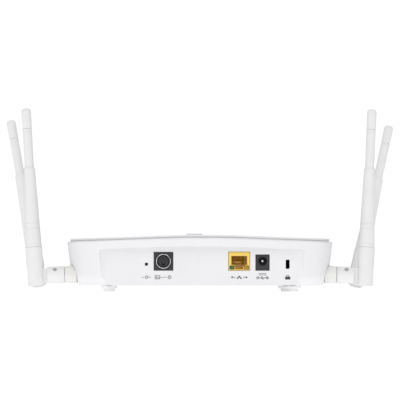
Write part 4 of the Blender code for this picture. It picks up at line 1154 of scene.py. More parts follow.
@dataclass
class Sockets:
    """The sockets, the reset pinhole and the lock slot, on and behind the panel."""

    panel_y: float
    board_top: float = 11.1 * MM
    board_wall: float = 1.6 * MM
    proud: float = 0.3 * MM
    lan_size: tuple[float, float, float] = (16.0 * MM, 18.0 * MM, 13.8 * MM)
    lan_x: float = 28.3 * MM
    lan_plug: tuple[float, float] = (12.0 * MM, 6.8 * MM)
    lan_top_bar: float = 3.0 * MM
    lan_cavity: float = 15.0 * MM
    lan_latch: tuple[float, float] = (6.0 * MM, 3.3 * MM)
    lan_light: tuple[float, float] = (3.3 * MM, 2.4 * MM)
    lan_pitch: float = 1.02 * MM
    console_size: tuple[float, float, float] = (14.3 * MM, 13.0 * MM, 13.6 * MM)
    console_x: float = -29.1 * MM
    ring_radius: float = 5.6 * MM
    ring_wall: float = 0.6 * MM
    core_radius: float = 3.9 * MM
    console_bore: float = 9.0 * MM
    notch: float = 1.0 * MM
    power_size: tuple[float, float, float] = (10.2 * MM, 14.0 * MM, 11.7 * MM)
    power_x: float = 46.0 * MM
    power_bore_radius: float = 3.2 * MM
    power_bore: float = 9.5 * MM
    pin_radius: float = 1.0 * MM
    reset_x: float = -42.0 * MM
    reset_height: float = 4.9 * MM
    reset_radius: float = 1.25 * MM
    plunger_radius: float = 1.5 * MM
    lock_x: float = 65.1 * MM
    lock_height: float = 16.0 * MM
    lock_slot: tuple[float, float] = (3.0 * MM, 7.0 * MM)
    panel_wall: float = 2.2 * MM

    @property
    def face(self) -> float:
        """Place of the sockets' front faces."""
        return self.panel_y - self.proud

    @property
    def foot(self) -> float:
        """Height of the sockets' undersides."""
        return self.board_top + GAP

    def openings(self) -> list[BMesh]:
        """Holes through the panel, the round ones with a small chamfer.

        Returns:
            One cutter for each hole.
        """
        start, end = self.panel_y - 3 * MM, self.panel_y + self.panel_wall + 2 * MM
        made = []
        sizes = (self.lan_size, self.console_size, self.power_size)
        for size, x in zip(sizes, (self.lan_x, self.console_x, self.power_x)):
            half = size[0] / 2 + GAP
            made.append(block((x - half, start, self.foot - GAP), (x + half, end, self.foot + size[2] + GAP)))
        chamfer = 0.4 * MM
        pinhole = turned(
            [
                (0.0, start, 0.0),
                (self.reset_radius + chamfer, start, 0.0),
                (self.reset_radius + chamfer, self.panel_y, 0.0),
                (self.reset_radius, self.panel_y + chamfer, 0.0),
                (self.reset_radius, end, 0.0),
                (0.0, end, 0.0),
            ],
            32,
        )
        made.append(along_y(pinhole, self.reset_x, self.board_top + self.reset_height))
        lock_at = (self.lock_x, self.lock_height)
        made.append(slot_shape(self.lock_slot, lock_at, (start, end), 0.7 * MM))
        return made

    def light_box(self, side: int, grow: float) -> tuple[tuple[float, float], tuple[float, float]]:
        """Low and high corners, in X and Z, of a socket light or its pocket.

        Args:
            side: -1 for the left light, 1 for the right one.
            grow: Distance to draw the box out.

        Returns:
            The low corner and the high corner.
        """
        wide, tall = self.lan_light
        margin = 0.9 * MM
        middle = self.lan_x + side * (self.lan_size[0] / 2 - margin - wide / 2)
        low = self.foot + margin
        return (middle - wide / 2 - grow, low - grow), (middle + wide / 2 + grow, low + tall + grow)

    def lan(self) -> None:
        """Network socket with its plug cavity, latch notch, lights and spring contacts."""
        width, depth, height = self.lan_size
        x, face = self.lan_x, self.face
        before, back = face - MM, face + self.lan_cavity
        plug_top = self.foot + height - self.lan_top_bar
        plug_low = plug_top - self.lan_plug[1]
        half = self.lan_plug[0] / 2
        latch = self.lan_latch[0] / 2
        step = 1.1 * MM
        cuts = [
            block((x - half, before, plug_low), (x + half, back, plug_top)),
            block(
                (x - latch, before, plug_low - self.lan_latch[1]),
                (x + latch, back - 2 * MM, plug_low + MM),
            ),
            block(
                (x - latch - step, before, plug_low - step),
                (x + latch + step, face + 9 * MM, plug_low + MM),
            ),
        ]
        for side in (-1, 1):
            (x0, z0), (x1, z1) = self.light_box(side, GAP)
            cuts.append(block((x0, before, z0), (x1, back, z1)))
        throat = self.lan_pitch * 4 + GAP
        cuts.append(block((x - throat, back - MM, plug_low + MM), (x + throat, face + depth - MM, plug_top)))
        low, high = (x - width / 2, face, self.foot), (x + width / 2, face + depth, self.foot + height)
        housing = combined(block(low, high, 0.35 * MM), *((Solid.CUT, tool) for tool in cuts))
        add_piece("network_socket", housing, Finish.LAN, "case", "lan_jack_housing", even=True)
        lights = ((-1, Finish.LIGHT_GREEN, "lan_light_green"), (1, Finish.LIGHT_AMBER, "lan_light_amber"))
        for side, finish, node in lights:
            (x0, z0), (x1, z1) = self.light_box(side, 0.0)
            pipe = block((x0, face + 0.25 * MM, z0), (x1, back - GAP, z1), 0.3 * MM)
            add_piece(f"socket_{node[4:]}", pipe, finish, "case", node)
        front = back + 0.6 * MM
        half = self.lan_pitch * 4
        low = (x - half, front, plug_low + MM + GAP)
        parts = [block(low, (x + half, face + depth - MM - GAP, plug_top - GAP), 0.1 * MM)]
        for i in range(8):
            at = x - half + self.lan_pitch * (i + 0.5)
            tip, root = plug_top - 0.75 * MM, plug_top - 2.4 * MM
            line = [(at, front + 0.5 * MM, root), (at, front - 1.5 * MM, root - 0.9 * MM)]
            line += [(at, face + 9 * MM, root - 1.4 * MM), (at, face + 6.2 * MM, root - 1.0 * MM)]
            line += [(at, face + 5.2 * MM, root + 0.2 * MM), (at, face + 5.6 * MM, tip)]
            parts.append(wire(line, 0.22 * MM))
        add_piece("socket_contacts", gathered(parts), Finish.CONTACT, "case", "lan_contacts")

    def console_pins(self) -> list[tuple[float, float]]:
        """Places of the pin holes in the console socket's core."""
        rows = ((2.2 * MM, 3, 1.7 * MM), (0.3 * MM, 3, 2.5 * MM), (-1.0 * MM, 2, 2.9 * MM))
        return [((i - (count - 1) / 2) * pitch, up) for up, count, pitch in rows for i in range(count)]

    def console(self) -> None:
        """Round console socket: a square housing, a notched shield ring and a keyed core."""
        width, depth, height = self.console_size
        x, face = self.console_x, self.face
        z = self.foot + height / 2
        moat_wall = self.ring_radius + GAP
        end = face + self.console_bore
        moat = turned(
            [
                (self.core_radius, face - MM, 0.0),
                (moat_wall + 0.35 * MM, face - MM, 0.0),
                (moat_wall + 0.35 * MM, face, 0.0),
                (moat_wall, face + 0.35 * MM, 0.0),
                (moat_wall, end, 0.0),
                (self.core_radius, end, 0.0),
            ],
            64,
            bored=True,
        )
        cuts = [along_y(moat, x, z)]
        key_low = (x - 1.1 * MM, face - MM, z - 3.0 * MM)
        cuts.append(block(key_low, (x + 1.1 * MM, face + 7 * MM, z - 1.7 * MM)))
        for across, up in self.console_pins():
            cuts.append(along_y(cylinder(0.5 * MM, face - MM, face + 7 * MM, 16), x + across, z + up))
        low, high = (x - width / 2, face, self.foot), (x + width / 2, face + depth, self.foot + height)
        housing = combined(block(low, high, 0.4 * MM), (Solid.CUT, gathered(cuts)))
        add_piece("console_socket", housing, Finish.SOCKET, "case", "console_jack_housing", even=True)
        bore, start = self.ring_radius - self.ring_wall, face + 0.15 * MM
        ring = turned(
            [
                (bore, start, 0.12 * MM),
                (self.ring_radius, start, 0.12 * MM),
                (self.ring_radius, end - GAP, 0.0),
                (bore, end - GAP, 0.0),
            ],
            64,
            bored=True,
        )
        notches = []
        for turn in (math.radians(degrees) for degrees in (35, 90, 150, 210, 330)):
            across, up = self.ring_radius * math.cos(turn), self.ring_radius * math.sin(turn)
            low = (x + across - self.notch, face - MM, z + up - self.notch)
            notches.append(block(low, (x + across + self.notch, face + 6 * MM, z + up + self.notch)))
        shield = combined(along_y(ring, x, z), *((Solid.CUT, notch) for notch in notches))
        add_piece("console_shield", shield, Finish.NICKEL, "case", "console_shield_ring")

    def power(self) -> None:
        """Power inlet: a square housing with a chamfered bore, and its round-nosed pin."""
        width, depth, height = self.power_size
        x, face = self.power_x, self.face
        z = self.foot + height * 0.6
        bore = self.power_bore_radius
        hole = turned(
            [
                (0.0, face - MM, 0.0),
                (bore + 0.4 * MM, face - MM, 0.0),
                (bore + 0.4 * MM, face, 0.0),
                (bore, face + 0.4 * MM, 0.0),
                (bore, face + self.power_bore, 0.0),
                (self.pin_radius + GAP, face + self.power_bore, 0.0),
                (self.pin_radius + GAP, face + depth - MM, 0.0),
                (0.0, face + depth - MM, 0.0),
            ],
            64,
        )
        low, high = (x - width / 2, face, self.foot), (x + width / 2, face + depth, self.foot + height)
        housing = combined(block(low, high, 0.35 * MM), (Solid.CUT, along_y(hole, x, z)))
        add_piece("power_socket", housing, Finish.SOCKET, "case", "power_jack_housing", even=True)
        pin = turned(
            [
                (0.0, face + MM, 0.0),
                (self.pin_radius, face + MM, 0.6 * MM),
                (self.pin_radius, face + depth - MM - GAP, 0.0),
                (0.0, face + depth - MM - GAP, 0.0),
            ],
            32,
        )
        add_piece("power_pin", along_y(pin, x, z), Finish.NICKEL, "case", "power_jack_pin")

    def plunger(self) -> None:
        """Reset plunger with a dished tip that centres a paper clip."""
        low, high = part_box("reset_plunger")
        radius = self.plunger_radius
        made = turned(
            [
                (0.0, low.y + 0.3 * MM, 0.0),
                (radius * 0.7, low.y, 0.1 * MM),
                (radius, low.y, 0.2 * MM),
                (radius, high.y, 0.1 * MM),
                (0.0, high.y, 0.0),
            ],
            32,
        )
        middle = (low + high) / 2
        made = along_y(made, middle.x, middle.z)
        add_piece("reset_pin", made, Finish.PLUNGER, "reset_button", "reset_plunger")

    def build(self) -> None:
        """Make every piece of the sockets."""
        self.lan()
        self.console()
        self.power()
        self.plunger()


@dataclass
class Pictograms:
    """Plain printed signs under the sockets, each a thin skin of ink on the panel.

    The signs are generic: an arrow back to its start, a terminal, a network tree, the polarity of
    a power plug and a padlock.
    """

    panel_y: float
    thickness: float = 0.04 * MM
    stroke: float = 0.42 * MM
    middle: float = 6.1 * MM

    def bar(self, start: tuple[float, float], end: tuple[float, float], stroke: float | None = None) -> BMesh:
        """Straight stroke between two points of the panel, given in X and Z.

        Args:
            start: Middle of the stroke's beginning.
            end: Middle of its end.
            stroke: Width, if it isn't the usual one.

        Returns:
            The raised stroke.
        """
        half = (stroke or self.stroke) / 2
        line = Vector((end[0] - start[0], 0.0, end[1] - start[1]))
        made = block((-half, -self.thickness, -half), (line.length + half, 0.02 * MM, half))
        slope = math.atan2(line.z, line.x)
        spot = Matrix.Translation((start[0], self.panel_y, start[1]))
        made.transform(spot @ Matrix.Rotation(-slope, 4, "Y"))
        return made

    def ring(self, x: float, z: float, radius: float, gap: float = 0.0) -> BMesh:
        """Round stroke about a point of the panel, open over gap degrees at its upper right.

        Args:
            x: Middle, across the panel.
            z: Middle, up the panel.
            radius: Radius of the stroke's middle line.
            gap: Width of the opening in degrees, or 0 for none.

        Returns:
            The raised ring.
        """
        half = self.stroke / 2
        steps = 24
        points = [math.radians(45 + gap / 2 + (360 - gap) * i / steps) for i in range(steps + 1)]
        rings = []
        for turn in points:
            across, up = math.cos(turn), math.sin(turn)
            inner, outer = radius - half, radius + half
            front, back = self.panel_y - self.thickness, self.panel_y + 0.02 * MM
            places = ((inner, front), (outer, front), (outer, back), (inner, back))
            rings.append([(x + reach * across, y, z + reach * up) for reach, y in places])
        return stacked(rings[:-1], bored=True) if not gap else stacked(rings)

    def dot(self, x: float, z: float, radius: float) -> BMesh:
        """Filled round dot."""
        made = cylinder(radius, self.panel_y - self.thickness, self.panel_y + 0.02 * MM, 24)
        return along_y(made, x, z)

    def frame_of(self, x: float, z: float, width: float, height: float) -> list[BMesh]:
        """Four strokes of a rectangle.

        Args:
            x: Middle, across the panel.
            z: Middle, up the panel.
            width: Width between the strokes' middles.
            height: Height between the strokes' middles.

        Returns:
            The four strokes.
        """
        left, right, low, high = x - width / 2, x + width / 2, z - height / 2, z + height / 2
        places = [(left, low), (right, low), (right, high), (left, high)]
        return [self.bar(a, b) for a, b in zip(places, places[1:] + places[:1])]

    def reset(self, x: float) -> list[BMesh]:
        """Open circle with an arrow head, between two short bars.

        Args:
            x: Middle of the sign.

        Returns:
            The sign's strokes.
        """
        z = self.middle
        tip = (x + 0.95 * MM, z + 0.35 * MM)
        ends = ((-0.55 * MM, 0.2 * MM), (0.35 * MM, 0.6 * MM))
        head = [self.bar(tip, (tip[0] + across, tip[1] + up)) for across, up in ends]
        sides = [self.bar((x + side * 2.2 * MM, z), (x + side * 3.2 * MM, z)) for side in (-1, 1)]
        return [self.ring(x, z, 0.95 * MM, 70), *head, *sides]

    def console(self, x: float) -> list[BMesh]:
        """Terminal with its cursor, a lead and a round plug.

        Args:
            x: Middle of the sign.

        Returns:
            The sign's strokes.
        """
        z = self.middle
        screen = self.frame_of(x - 4.6 * MM, z, 3.4 * MM, 2.3 * MM)
        cursor = [
            self.bar((x - 5.4 * MM, z + 0.3 * MM), (x - 5.0 * MM, z)),
            self.bar((x - 5.0 * MM, z), (x - 5.4 * MM, z - 0.3 * MM)),
        ]
        cursor.append(self.bar((x - 4.6 * MM, z - 0.35 * MM), (x - 3.9 * MM, z - 0.35 * MM)))
        starts = [x - 2.3 * MM + 1.7 * MM * i for i in range(3)]
        lead = [self.bar((start, z), (start + 0.8 * MM, z)) for start in starts]
        plug = [self.ring(x + 4.6 * MM, z, 1.15 * MM)]
        pins = ((-0.4, 0), (0.4, 0), (0, 0.4))
        plug += [self.dot(x + (4.6 + across) * MM, z + up * MM, 0.2 * MM) for across, up in pins]
        return screen + cursor + lead + plug

    def network(self, x: float) -> list[BMesh]:
        """Three boxes on a common line, with an arrow each way.

        Args:
            x: Middle of the sign.

        Returns:
            The sign's strokes.
        """
        z = self.middle
        made = []
        for across, up in ((0.0, 0.75), (-1.3, -0.75), (1.3, -0.75)):
            left, level = x + (across - 0.25) * MM, z + up * MM
            made.append(self.bar((left, level), (left + 0.5 * MM, level), 0.75 * MM))
        made.append(self.bar((x - 1.3 * MM, z), (x + 1.3 * MM, z)))
        made.append(self.bar((x, z), (x, z + 0.6 * MM)))
        for side in (-1, 1):
            tip = x + side * 6.0 * MM
            made.append(self.bar((x + side * 3.2 * MM, z), (tip, z)))
            for up in (-0.7, 0.7):
                made.append(self.bar((tip, z), (tip - side * 0.9 * MM, z + up * MM)))
        return made

    def power(self, x: float) -> list[BMesh]:
        """Direct-current sign over the plug's polarity.

        Args:
            x: Middle of the sign.

        Returns:
            The sign's strokes.
        """
        z = self.middle
        made = [self.bar((x - 2.6 * MM, z + 2.7 * MM), (x + 2.6 * MM, z + 2.7 * MM))]
        for i in range(3):
            start = x + (-2.6 + 2.05 * i) * MM
            made.append(self.bar((start, z + 1.7 * MM), (start + 1.1 * MM, z + 1.7 * MM)))
        low = z - 0.4 * MM
        made.append(self.ring(x, low, 0.95 * MM, 90))
        made.append(self.dot(x, low, 0.4 * MM))
        for side in (-1, 1):
            made.append(self.bar((x + side * 1.0 * MM, low), (x + side * 2.6 * MM, low)))
            made.append(self.ring(x + side * 3.6 * MM, low, 0.85 * MM))
            left = x + (side * 3.6 - 0.35) * MM
            made.append(self.bar((left, low), (left + 0.7 * MM, low), 0.25 * MM))
        made.append(self.bar((x + 3.6 * MM, low - 0.35 * MM), (x + 3.6 * MM, low + 0.35 * MM), 0.25 * MM))
        return made

    def padlock(self, x: float) -> list[BMesh]:
        """Closed padlock.

        Args:
            x: Middle of the sign.

        Returns:
            The sign's strokes.
        """
        z = self.middle + 0.3 * MM
        body = self.bar((x - 0.85 * MM, z - 0.9 * MM), (x + 0.85 * MM, z - 0.9 * MM), 2.2 * MM)
        legs = [self.bar((x + side * 0.85 * MM, z), (x + side * 0.85 * MM, z + 0.9 * MM)) for side in (-1, 1)]
        return [body, *legs, self.bar((x - 0.6 * MM, z + 1.25 * MM), (x + 0.6 * MM, z + 1.25 * MM))]

    def build(self, sockets: Sockets) -> None:
        """Print each sign under its socket.

        Args:
            sockets: Sockets that the signs stand under.
        """
        signs = {
            "sign_reset": self.reset(sockets.reset_x),
            "sign_console": self.console(sockets.console_x),
            "sign_network": self.network(sockets.lan_x),
            "sign_power": self.power(sockets.power_x),
            "sign_lock": self.padlock(sockets.lock_x),
        }
        for name, parts in signs.items():
            add_piece(name, gathered(parts), Finish.INK, "case")


# ---------------------------------------------------------------- antennas


@dataclass
class Antenna:
    """One antenna with its coupling nut, swivelling barrel, forked base, sleeve and tip cap.

    Distances along the connector and the sleeve are counted from the hinge.
    """

    name: str
    barrel_radius: float = 6.4 * MM
    barrel_face: float = 9.2 * MM
    barrel_length: float = 13.2 * MM
    tongue_wall: float = 4.6 * MM
    tongue_radius: float = 5.4 * MM
    nut_radius: float = 6.65 * MM
    nut_length: float = 7.6 * MM
    nut_ribs: int = 30
    rib_depth: float = 0.4 * MM
    thread_radius: float = 3.05 * MM
    neck_length: float = 3.4 * MM
    flange: float = 1.0 * MM
    flange_radius: float = 6.0 * MM
    seat_back: float = 6.0 * MM
    seat_radius: float = 8.6 * MM
    pin_radius: float = 1.4 * MM
    fork_radius: float = 6.4 * MM
    fork_foot: float = 8.1 * MM
    fork_length: float = 29.8 * MM
    inner_corner: float = 4.2 * MM
    outer_corner: float = 2.6 * MM
    slot_top: float = 7.0 * MM
    spigot_radius: float = 3.4 * MM
    spigot: float = 6.0 * MM
    collar: tuple[float, float] = (36.3 * MM, 40.1 * MM)
    step: float = 82.5 * MM
    end: float = 112.6 * MM
    tip: float = 128.2 * MM
    foot_radius: float = 6.2 * MM
    collar_radius: float = 5.6 * MM
    shoulder_radius: float = 4.2 * MM
    neck_radius: float = 3.5 * MM
    top_radius: float = 3.6 * MM
    tip_radius: float = 3.7 * MM

    @staticmethod
    def all() -> list["Antenna"]:
        """The four antennas."""
        return [Antenna(name) for name in ("rear_left", "rear_right", "front_left", "front_right")]

    def joint(self, kind: str) -> dict:
        """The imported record's joint of this antenna."""
        return next(j for j in frame["joints"] if j["name"] == f"{kind}_{self.name}")

    @property
    def hinge(self) -> Vector:
        """Middle of the hinge."""
        return Vector(self.joint("fold")["pos_m"])

    def oriented(self, up: Vector, across: Vector) -> Matrix:
        """Frame at the hinge with Z along up and Y along across.

        Args:
            up: Direction of the frame's Z.
            across: Direction that Y is taken from.

        Returns:
            The frame.
        """
        up = up.normalized()
        across = (across - across.dot(up) * up).normalized()
        turned_to = Matrix((across.cross(up), across, up)).transposed().to_4x4()
        return Matrix.Translation(self.hinge) @ turned_to

    @property
    def side(self) -> int:
        """1 on the right, -1 on the left."""
        return 1 if self.hinge.x > 0 else -1

    def outward(self) -> Vector:
        """Direction of the connector, away from the case."""
        return self.side * Vector(self.joint("swivel")["axis"])

    def connector_frame(self) -> Matrix:
        """Frame whose Z runs out along the connector."""
        return self.oriented(self.outward(), Vector((0.0, self.side, 0.0)))

    def barrel_frame(self) -> Matrix:
        """Frame whose Z runs out along the connector and whose Y is the hinge's axis."""
        return self.oriented(self.outward(), Vector(self.joint("fold")["axis"]))

    def mast_frame(self) -> Matrix:
        """Frame whose Z runs up the sleeve and whose Y is the hinge's axis.

        Returns:
            The frame, aimed from the hinge at the tip cap.
        """
        points = [vert.co for vert in frame["nodes"][f"tip_cap_{self.name}"].data.vertices]
        middle = sum(points, Vector()) / len(points)
        return self.oriented(middle - self.hinge, Vector(self.joint("fold")["axis"]))

    def seat(self) -> float:
        """Distance from the hinge to the connector's seat in the case wall."""
        return self.barrel_face + self.barrel_length + GAP + self.nut_length + GAP + self.flange + GAP

    def case_hole(self) -> BMesh:
        """Pocket and bore for the connector in the case wall.

        Returns:
            The cutter, in its place.
        """
        seat, pocket, bore = self.seat(), self.nut_radius + 0.55 * MM, self.thread_radius + RUN
        made = turned(
            [
                (0.0, -seat + 14 * MM, 0.0),
                (pocket, -seat + 14 * MM, 0.0),
                (pocket, -seat, 0.0),
                (bore, -seat, 0.0),
                (bore, -seat - 14 * MM, 0.0),
                (0.0, -seat - 14 * MM, 0.0),
            ]
        )
        made.transform(self.connector_frame())
        return made

    def nut(self) -> None:
        """Coupling nut with rounded grip ribs and a thin skirt round the jack's flange."""
        outer = -(self.barrel_face + self.barrel_length + GAP)
        inner = outer - self.nut_length
        sides = self.nut_ribs * 6
        bore = self.thread_radius + RUN

        def ring(radius: float, depth: float, z: float) -> list[Point]:
            """Ring of the nut's outline.

            Args:
                radius: Radius at the ribs' crests.
                depth: Depth of the valleys between the ribs.
                z: Height along the connector.

            Returns:
                The ring's points in order.
            """
            points = []
            for i in range(sides):
                turn = math.tau * i / sides
                reach = radius - depth * abs(math.sin(turn * self.nut_ribs / 2)) ** 0.7
                points.append((reach * math.cos(turn), reach * math.sin(turn), z))
            return points

        low = self.nut_radius - self.rib_depth
        skirt, lip = self.flange_radius + 0.15 * MM, inner - self.flange - GAP
        rings = [ring(bore, 0.0, inner), ring(skirt, 0.0, inner), ring(skirt, 0.0, lip), ring(low, 0.0, lip)]
        rings += [ring(low, 0.0, inner - 0.2 * MM), ring(self.nut_radius, self.rib_depth, inner + 0.3 * MM)]
        rings += [ring(self.nut_radius, self.rib_depth, outer - 1.5 * MM), ring(low, 0.0, outer - 1.1 * MM)]
        rings += [ring(low, 0.0, outer - 0.3 * MM), ring(low - 0.4 * MM, 0.0, outer), ring(bore, 0.0, outer)]
        made = stacked(rings, bored=True)
        made.transform(self.connector_frame())
        add_piece(f"grip_nut_{self.name}", made, Finish.NUT, f"nut_{self.name}", f"coupling_nut_{self.name}")

    def barrel(self) -> None:
        """Barrel with a neck in the nut, a shadow line, index marks and a tongue in the fork."""
        inner = -(self.barrel_face + self.barrel_length)
        radius = self.barrel_radius
        body = turned(
            [
                (0.0, -self.barrel_face, 0.0),
                (radius - 0.3 * MM, -self.barrel_face, 0.5 * MM),
                (radius, -self.barrel_face - 1.8 * MM, 0.4 * MM),
                (radius, inner + 1.4 * MM, 0.0),
                (radius - 0.2 * MM, inner + 1.3 * MM, 0.0),
                (radius - 0.2 * MM, inner + 1.05 * MM, 0.0),
                (radius, inner + 0.95 * MM, 0.0),
                (radius, inner, 0.35 * MM),
                (self.thread_radius, inner, 0.0),
                (self.thread_radius, inner - self.neck_length, 0.3 * MM),
                (0.0, inner - self.neck_length, 0.0),
            ]
        )
        half = self.tongue_wall / 2
        neck_low = (-self.tongue_radius, -half, -self.barrel_face - 2 * MM)
        neck = block(neck_low, (self.tongue_radius, half, 0.0))
        eye = along_y(cylinder(self.tongue_radius, -half, half, 64), 0.0, 0.0)
        bore = along_y(cylinder(self.pin_radius + RUN, -half - MM, half + MM, 32), 0.0, 0.0)
        made = combined(body, (Solid.UNITE, neck), (Solid.UNITE, eye), (Solid.CUT, bore))
        made.transform(self.barrel_frame())
        body_name = f"arm_{self.name}"
        node = f"swivel_barrel_{self.name}"
        add_piece(f"swivel_arm_{self.name}", made, Finish.ANTENNA, body_name, node, even=True)
        marks = []
        for turn, height in ((-11, 1.0), (0, 1.9), (11, 1.0)):
            mark_low = (radius - 0.1 * MM, -0.3 * MM, -height * MM)
            mark = block(mark_low, (radius + 0.03 * MM, 0.3 * MM, height * MM))
            mark.transform(Matrix.Rotation(math.radians(turn), 4, "Z"))
            marks.append(mark)
        ink = gathered(marks)
        where = Matrix.Translation((0.0, 0.0, -self.barrel_face - self.barrel_length * 0.45))
        facing = self.barrel_frame().to_3x3().transposed() @ Vector((0.0, -0.75, 0.66))
        ink.transform(self.barrel_frame() @ where @ Matrix.Rotation(math.atan2(facing.y, facing.x), 4, "Z"))
        add_piece(f"index_marks_{self.name}", ink, Finish.INK, body_name)

    def fork_side(self, y: float) -> list[Point]:
        """Side view of the fork: its lower end has a large inner corner that clears the barrel.

        Args:
            y: Place of the outline along the hinge.

        Returns:
            The outline's points in order.
        """
        half = self.fork_radius + MM
        points = [(half, self.fork_length), (-half, self.fork_length)]
        points.append((-half, -self.fork_foot + self.inner_corner))
        steps = 8
        for side, radius in ((-1, self.inner_corner), (1, self.outer_corner)):
            for i in range(steps + 1):
                turn = math.pi / 2 * (i if side < 0 else steps - i) / steps
                x = side * (self.fork_radius - radius + radius * math.cos(turn))
                points.append((x, -self.fork_foot + radius - radius * math.sin(turn)))
        points.append((half, -self.fork_foot + self.outer_corner))
        return [(x, y, z) for x, z in points]

    def fork(self) -> None:
        """Round base of the antenna, slotted into two ears that hide the hinge pin's ends."""
        top = self.fork_length - self.fork_foot + 0.2 * MM
        radius = self.fork_radius
        body = turned(
            [
                (0.0, top, 0.0),
                (radius, top, 0.25 * MM),
                (radius, -self.fork_foot - MM, 0.0),
                (0.0, -self.fork_foot - MM, 0.0),
            ],
            96,
        )
        reach = radius + 2 * MM
        outline = stacked([self.fork_side(-reach), self.fork_side(reach)])
        half = self.tongue_wall / 2 + GAP
        slot = block((-reach, -half, -self.fork_foot - 3 * MM), (reach, half, self.slot_top), 0.0)
        socket = cylinder(self.spigot_radius + GAP, top - self.spigot - 2 * GAP, top + MM, 32)
        ends = math.sqrt(radius**2 - self.pin_radius**2) - 0.3 * MM
        pin_hole = along_y(cylinder(self.pin_radius + GAP, -ends, ends, 32), 0.0, 0.0)
        made = combined(
            body, (Solid.KEEP, outline), (Solid.CUT, slot), (Solid.CUT, socket), (Solid.CUT, pin_hole)
        )
        made.transform(self.mast_frame())
        body, node = f"antenna_{self.name}", f"fork_base_{self.name}"
        add_piece(f"forked_base_{self.name}", made, Finish.ANTENNA, body, node, even=True)

    def groove(self, radius: float, z: float) -> list[tuple[float, float, float]]:
        """Corners of a fine moulded line round the sleeve, from above."""
        deep, half = 0.28 * MM, 0.24 * MM
        return [(radius, z + half, 0.0), (radius - deep, z, 0.0), (radius, z - half, 0.0)]

    def mast(self) -> None:
        """Tapered sleeve with a stepped shoulder and fine lines round its collar."""
        foot = self.fork_length - self.fork_foot + GAP
        peg = self.neck_radius * 0.55
        low, high = self.collar
        made = turned(
            [
                (0.0, self.end + self.spigot * 0.6, 0.0),
                (peg, self.end + self.spigot * 0.6, 0.2 * MM),
                (peg, self.end, 0.0),
                (self.top_radius, self.end, 0.2 * MM),
                *self.groove(self.top_radius - 0.03 * MM, self.end - 2.5 * MM),
                (self.neck_radius, self.step + 4 * MM, 2 * MM),
                (self.neck_radius, self.step, 0.0),
                (self.shoulder_radius, self.step, 0.25 * MM),
                (self.shoulder_radius + 0.1 * MM, self.step - 3 * MM, 1.0 * MM),
                *self.groove(self.collar_radius * 0.985, high),
                *self.groove(self.collar_radius, low),
                *self.groove(self.foot_radius - 0.12 * MM, foot + 2.4 * MM),
                (self.foot_radius, foot, 0.25 * MM),
                (self.spigot_radius, foot, 0.0),
                (self.spigot_radius, foot - self.spigot, 0.3 * MM),
                (0.0, foot - self.spigot, 0.0),
            ],
            96,
        )
        made.transform(self.mast_frame())
        add_piece(f"sleeve_{self.name}", made, Finish.ANTENNA, f"antenna_{self.name}", f"mast_{self.name}")

    def cap(self) -> None:
        """Tip cap with a softly domed end."""
        foot = self.end + 0.12 * MM
        peg, peg_top = self.neck_radius * 0.55 + GAP, self.end + self.spigot * 0.6 + GAP
        made = turned(
            [
                (0.0, self.tip, 0.0),
                (self.tip_radius * 0.5, self.tip, 0.4 * MM),
                (self.tip_radius * 0.86, self.tip - 0.7 * MM, 0.5 * MM),
                (self.tip_radius, self.tip - 2.4 * MM, 1.0 * MM),
                (self.top_radius, foot, 0.2 * MM),
                (peg, foot, 0.0),
                (peg, peg_top, 0.0),
                (0.0, peg_top, 0.0),
            ],
            96,
        )
        made.transform(self.mast_frame())
        body, node = f"antenna_{self.name}", f"tip_cap_{self.name}"
        add_piece(f"end_cap_{self.name}", made, Finish.ANTENNA, body, node)

    def build(self) -> None:
        """Make every piece of the antenna."""
        self.nut()
        self.barrel()
        self.fork()
        self.mast()
        self.cap()


# ---------------------------------------------------------------- carried-over parts and stage


def dress_cad_nodes() -> None:
    """Give every CAD node the finish of its record slot."""
    finishes = {finish.value.slot: finish for finish in reversed(list(Finish))}
    for part in frame["record"]["subparts"]:
        mesh = frame["nodes"][part["node"]].data
        mesh.materials.clear()
        mesh.materials.append(finishes[part["material_slot"]].material())


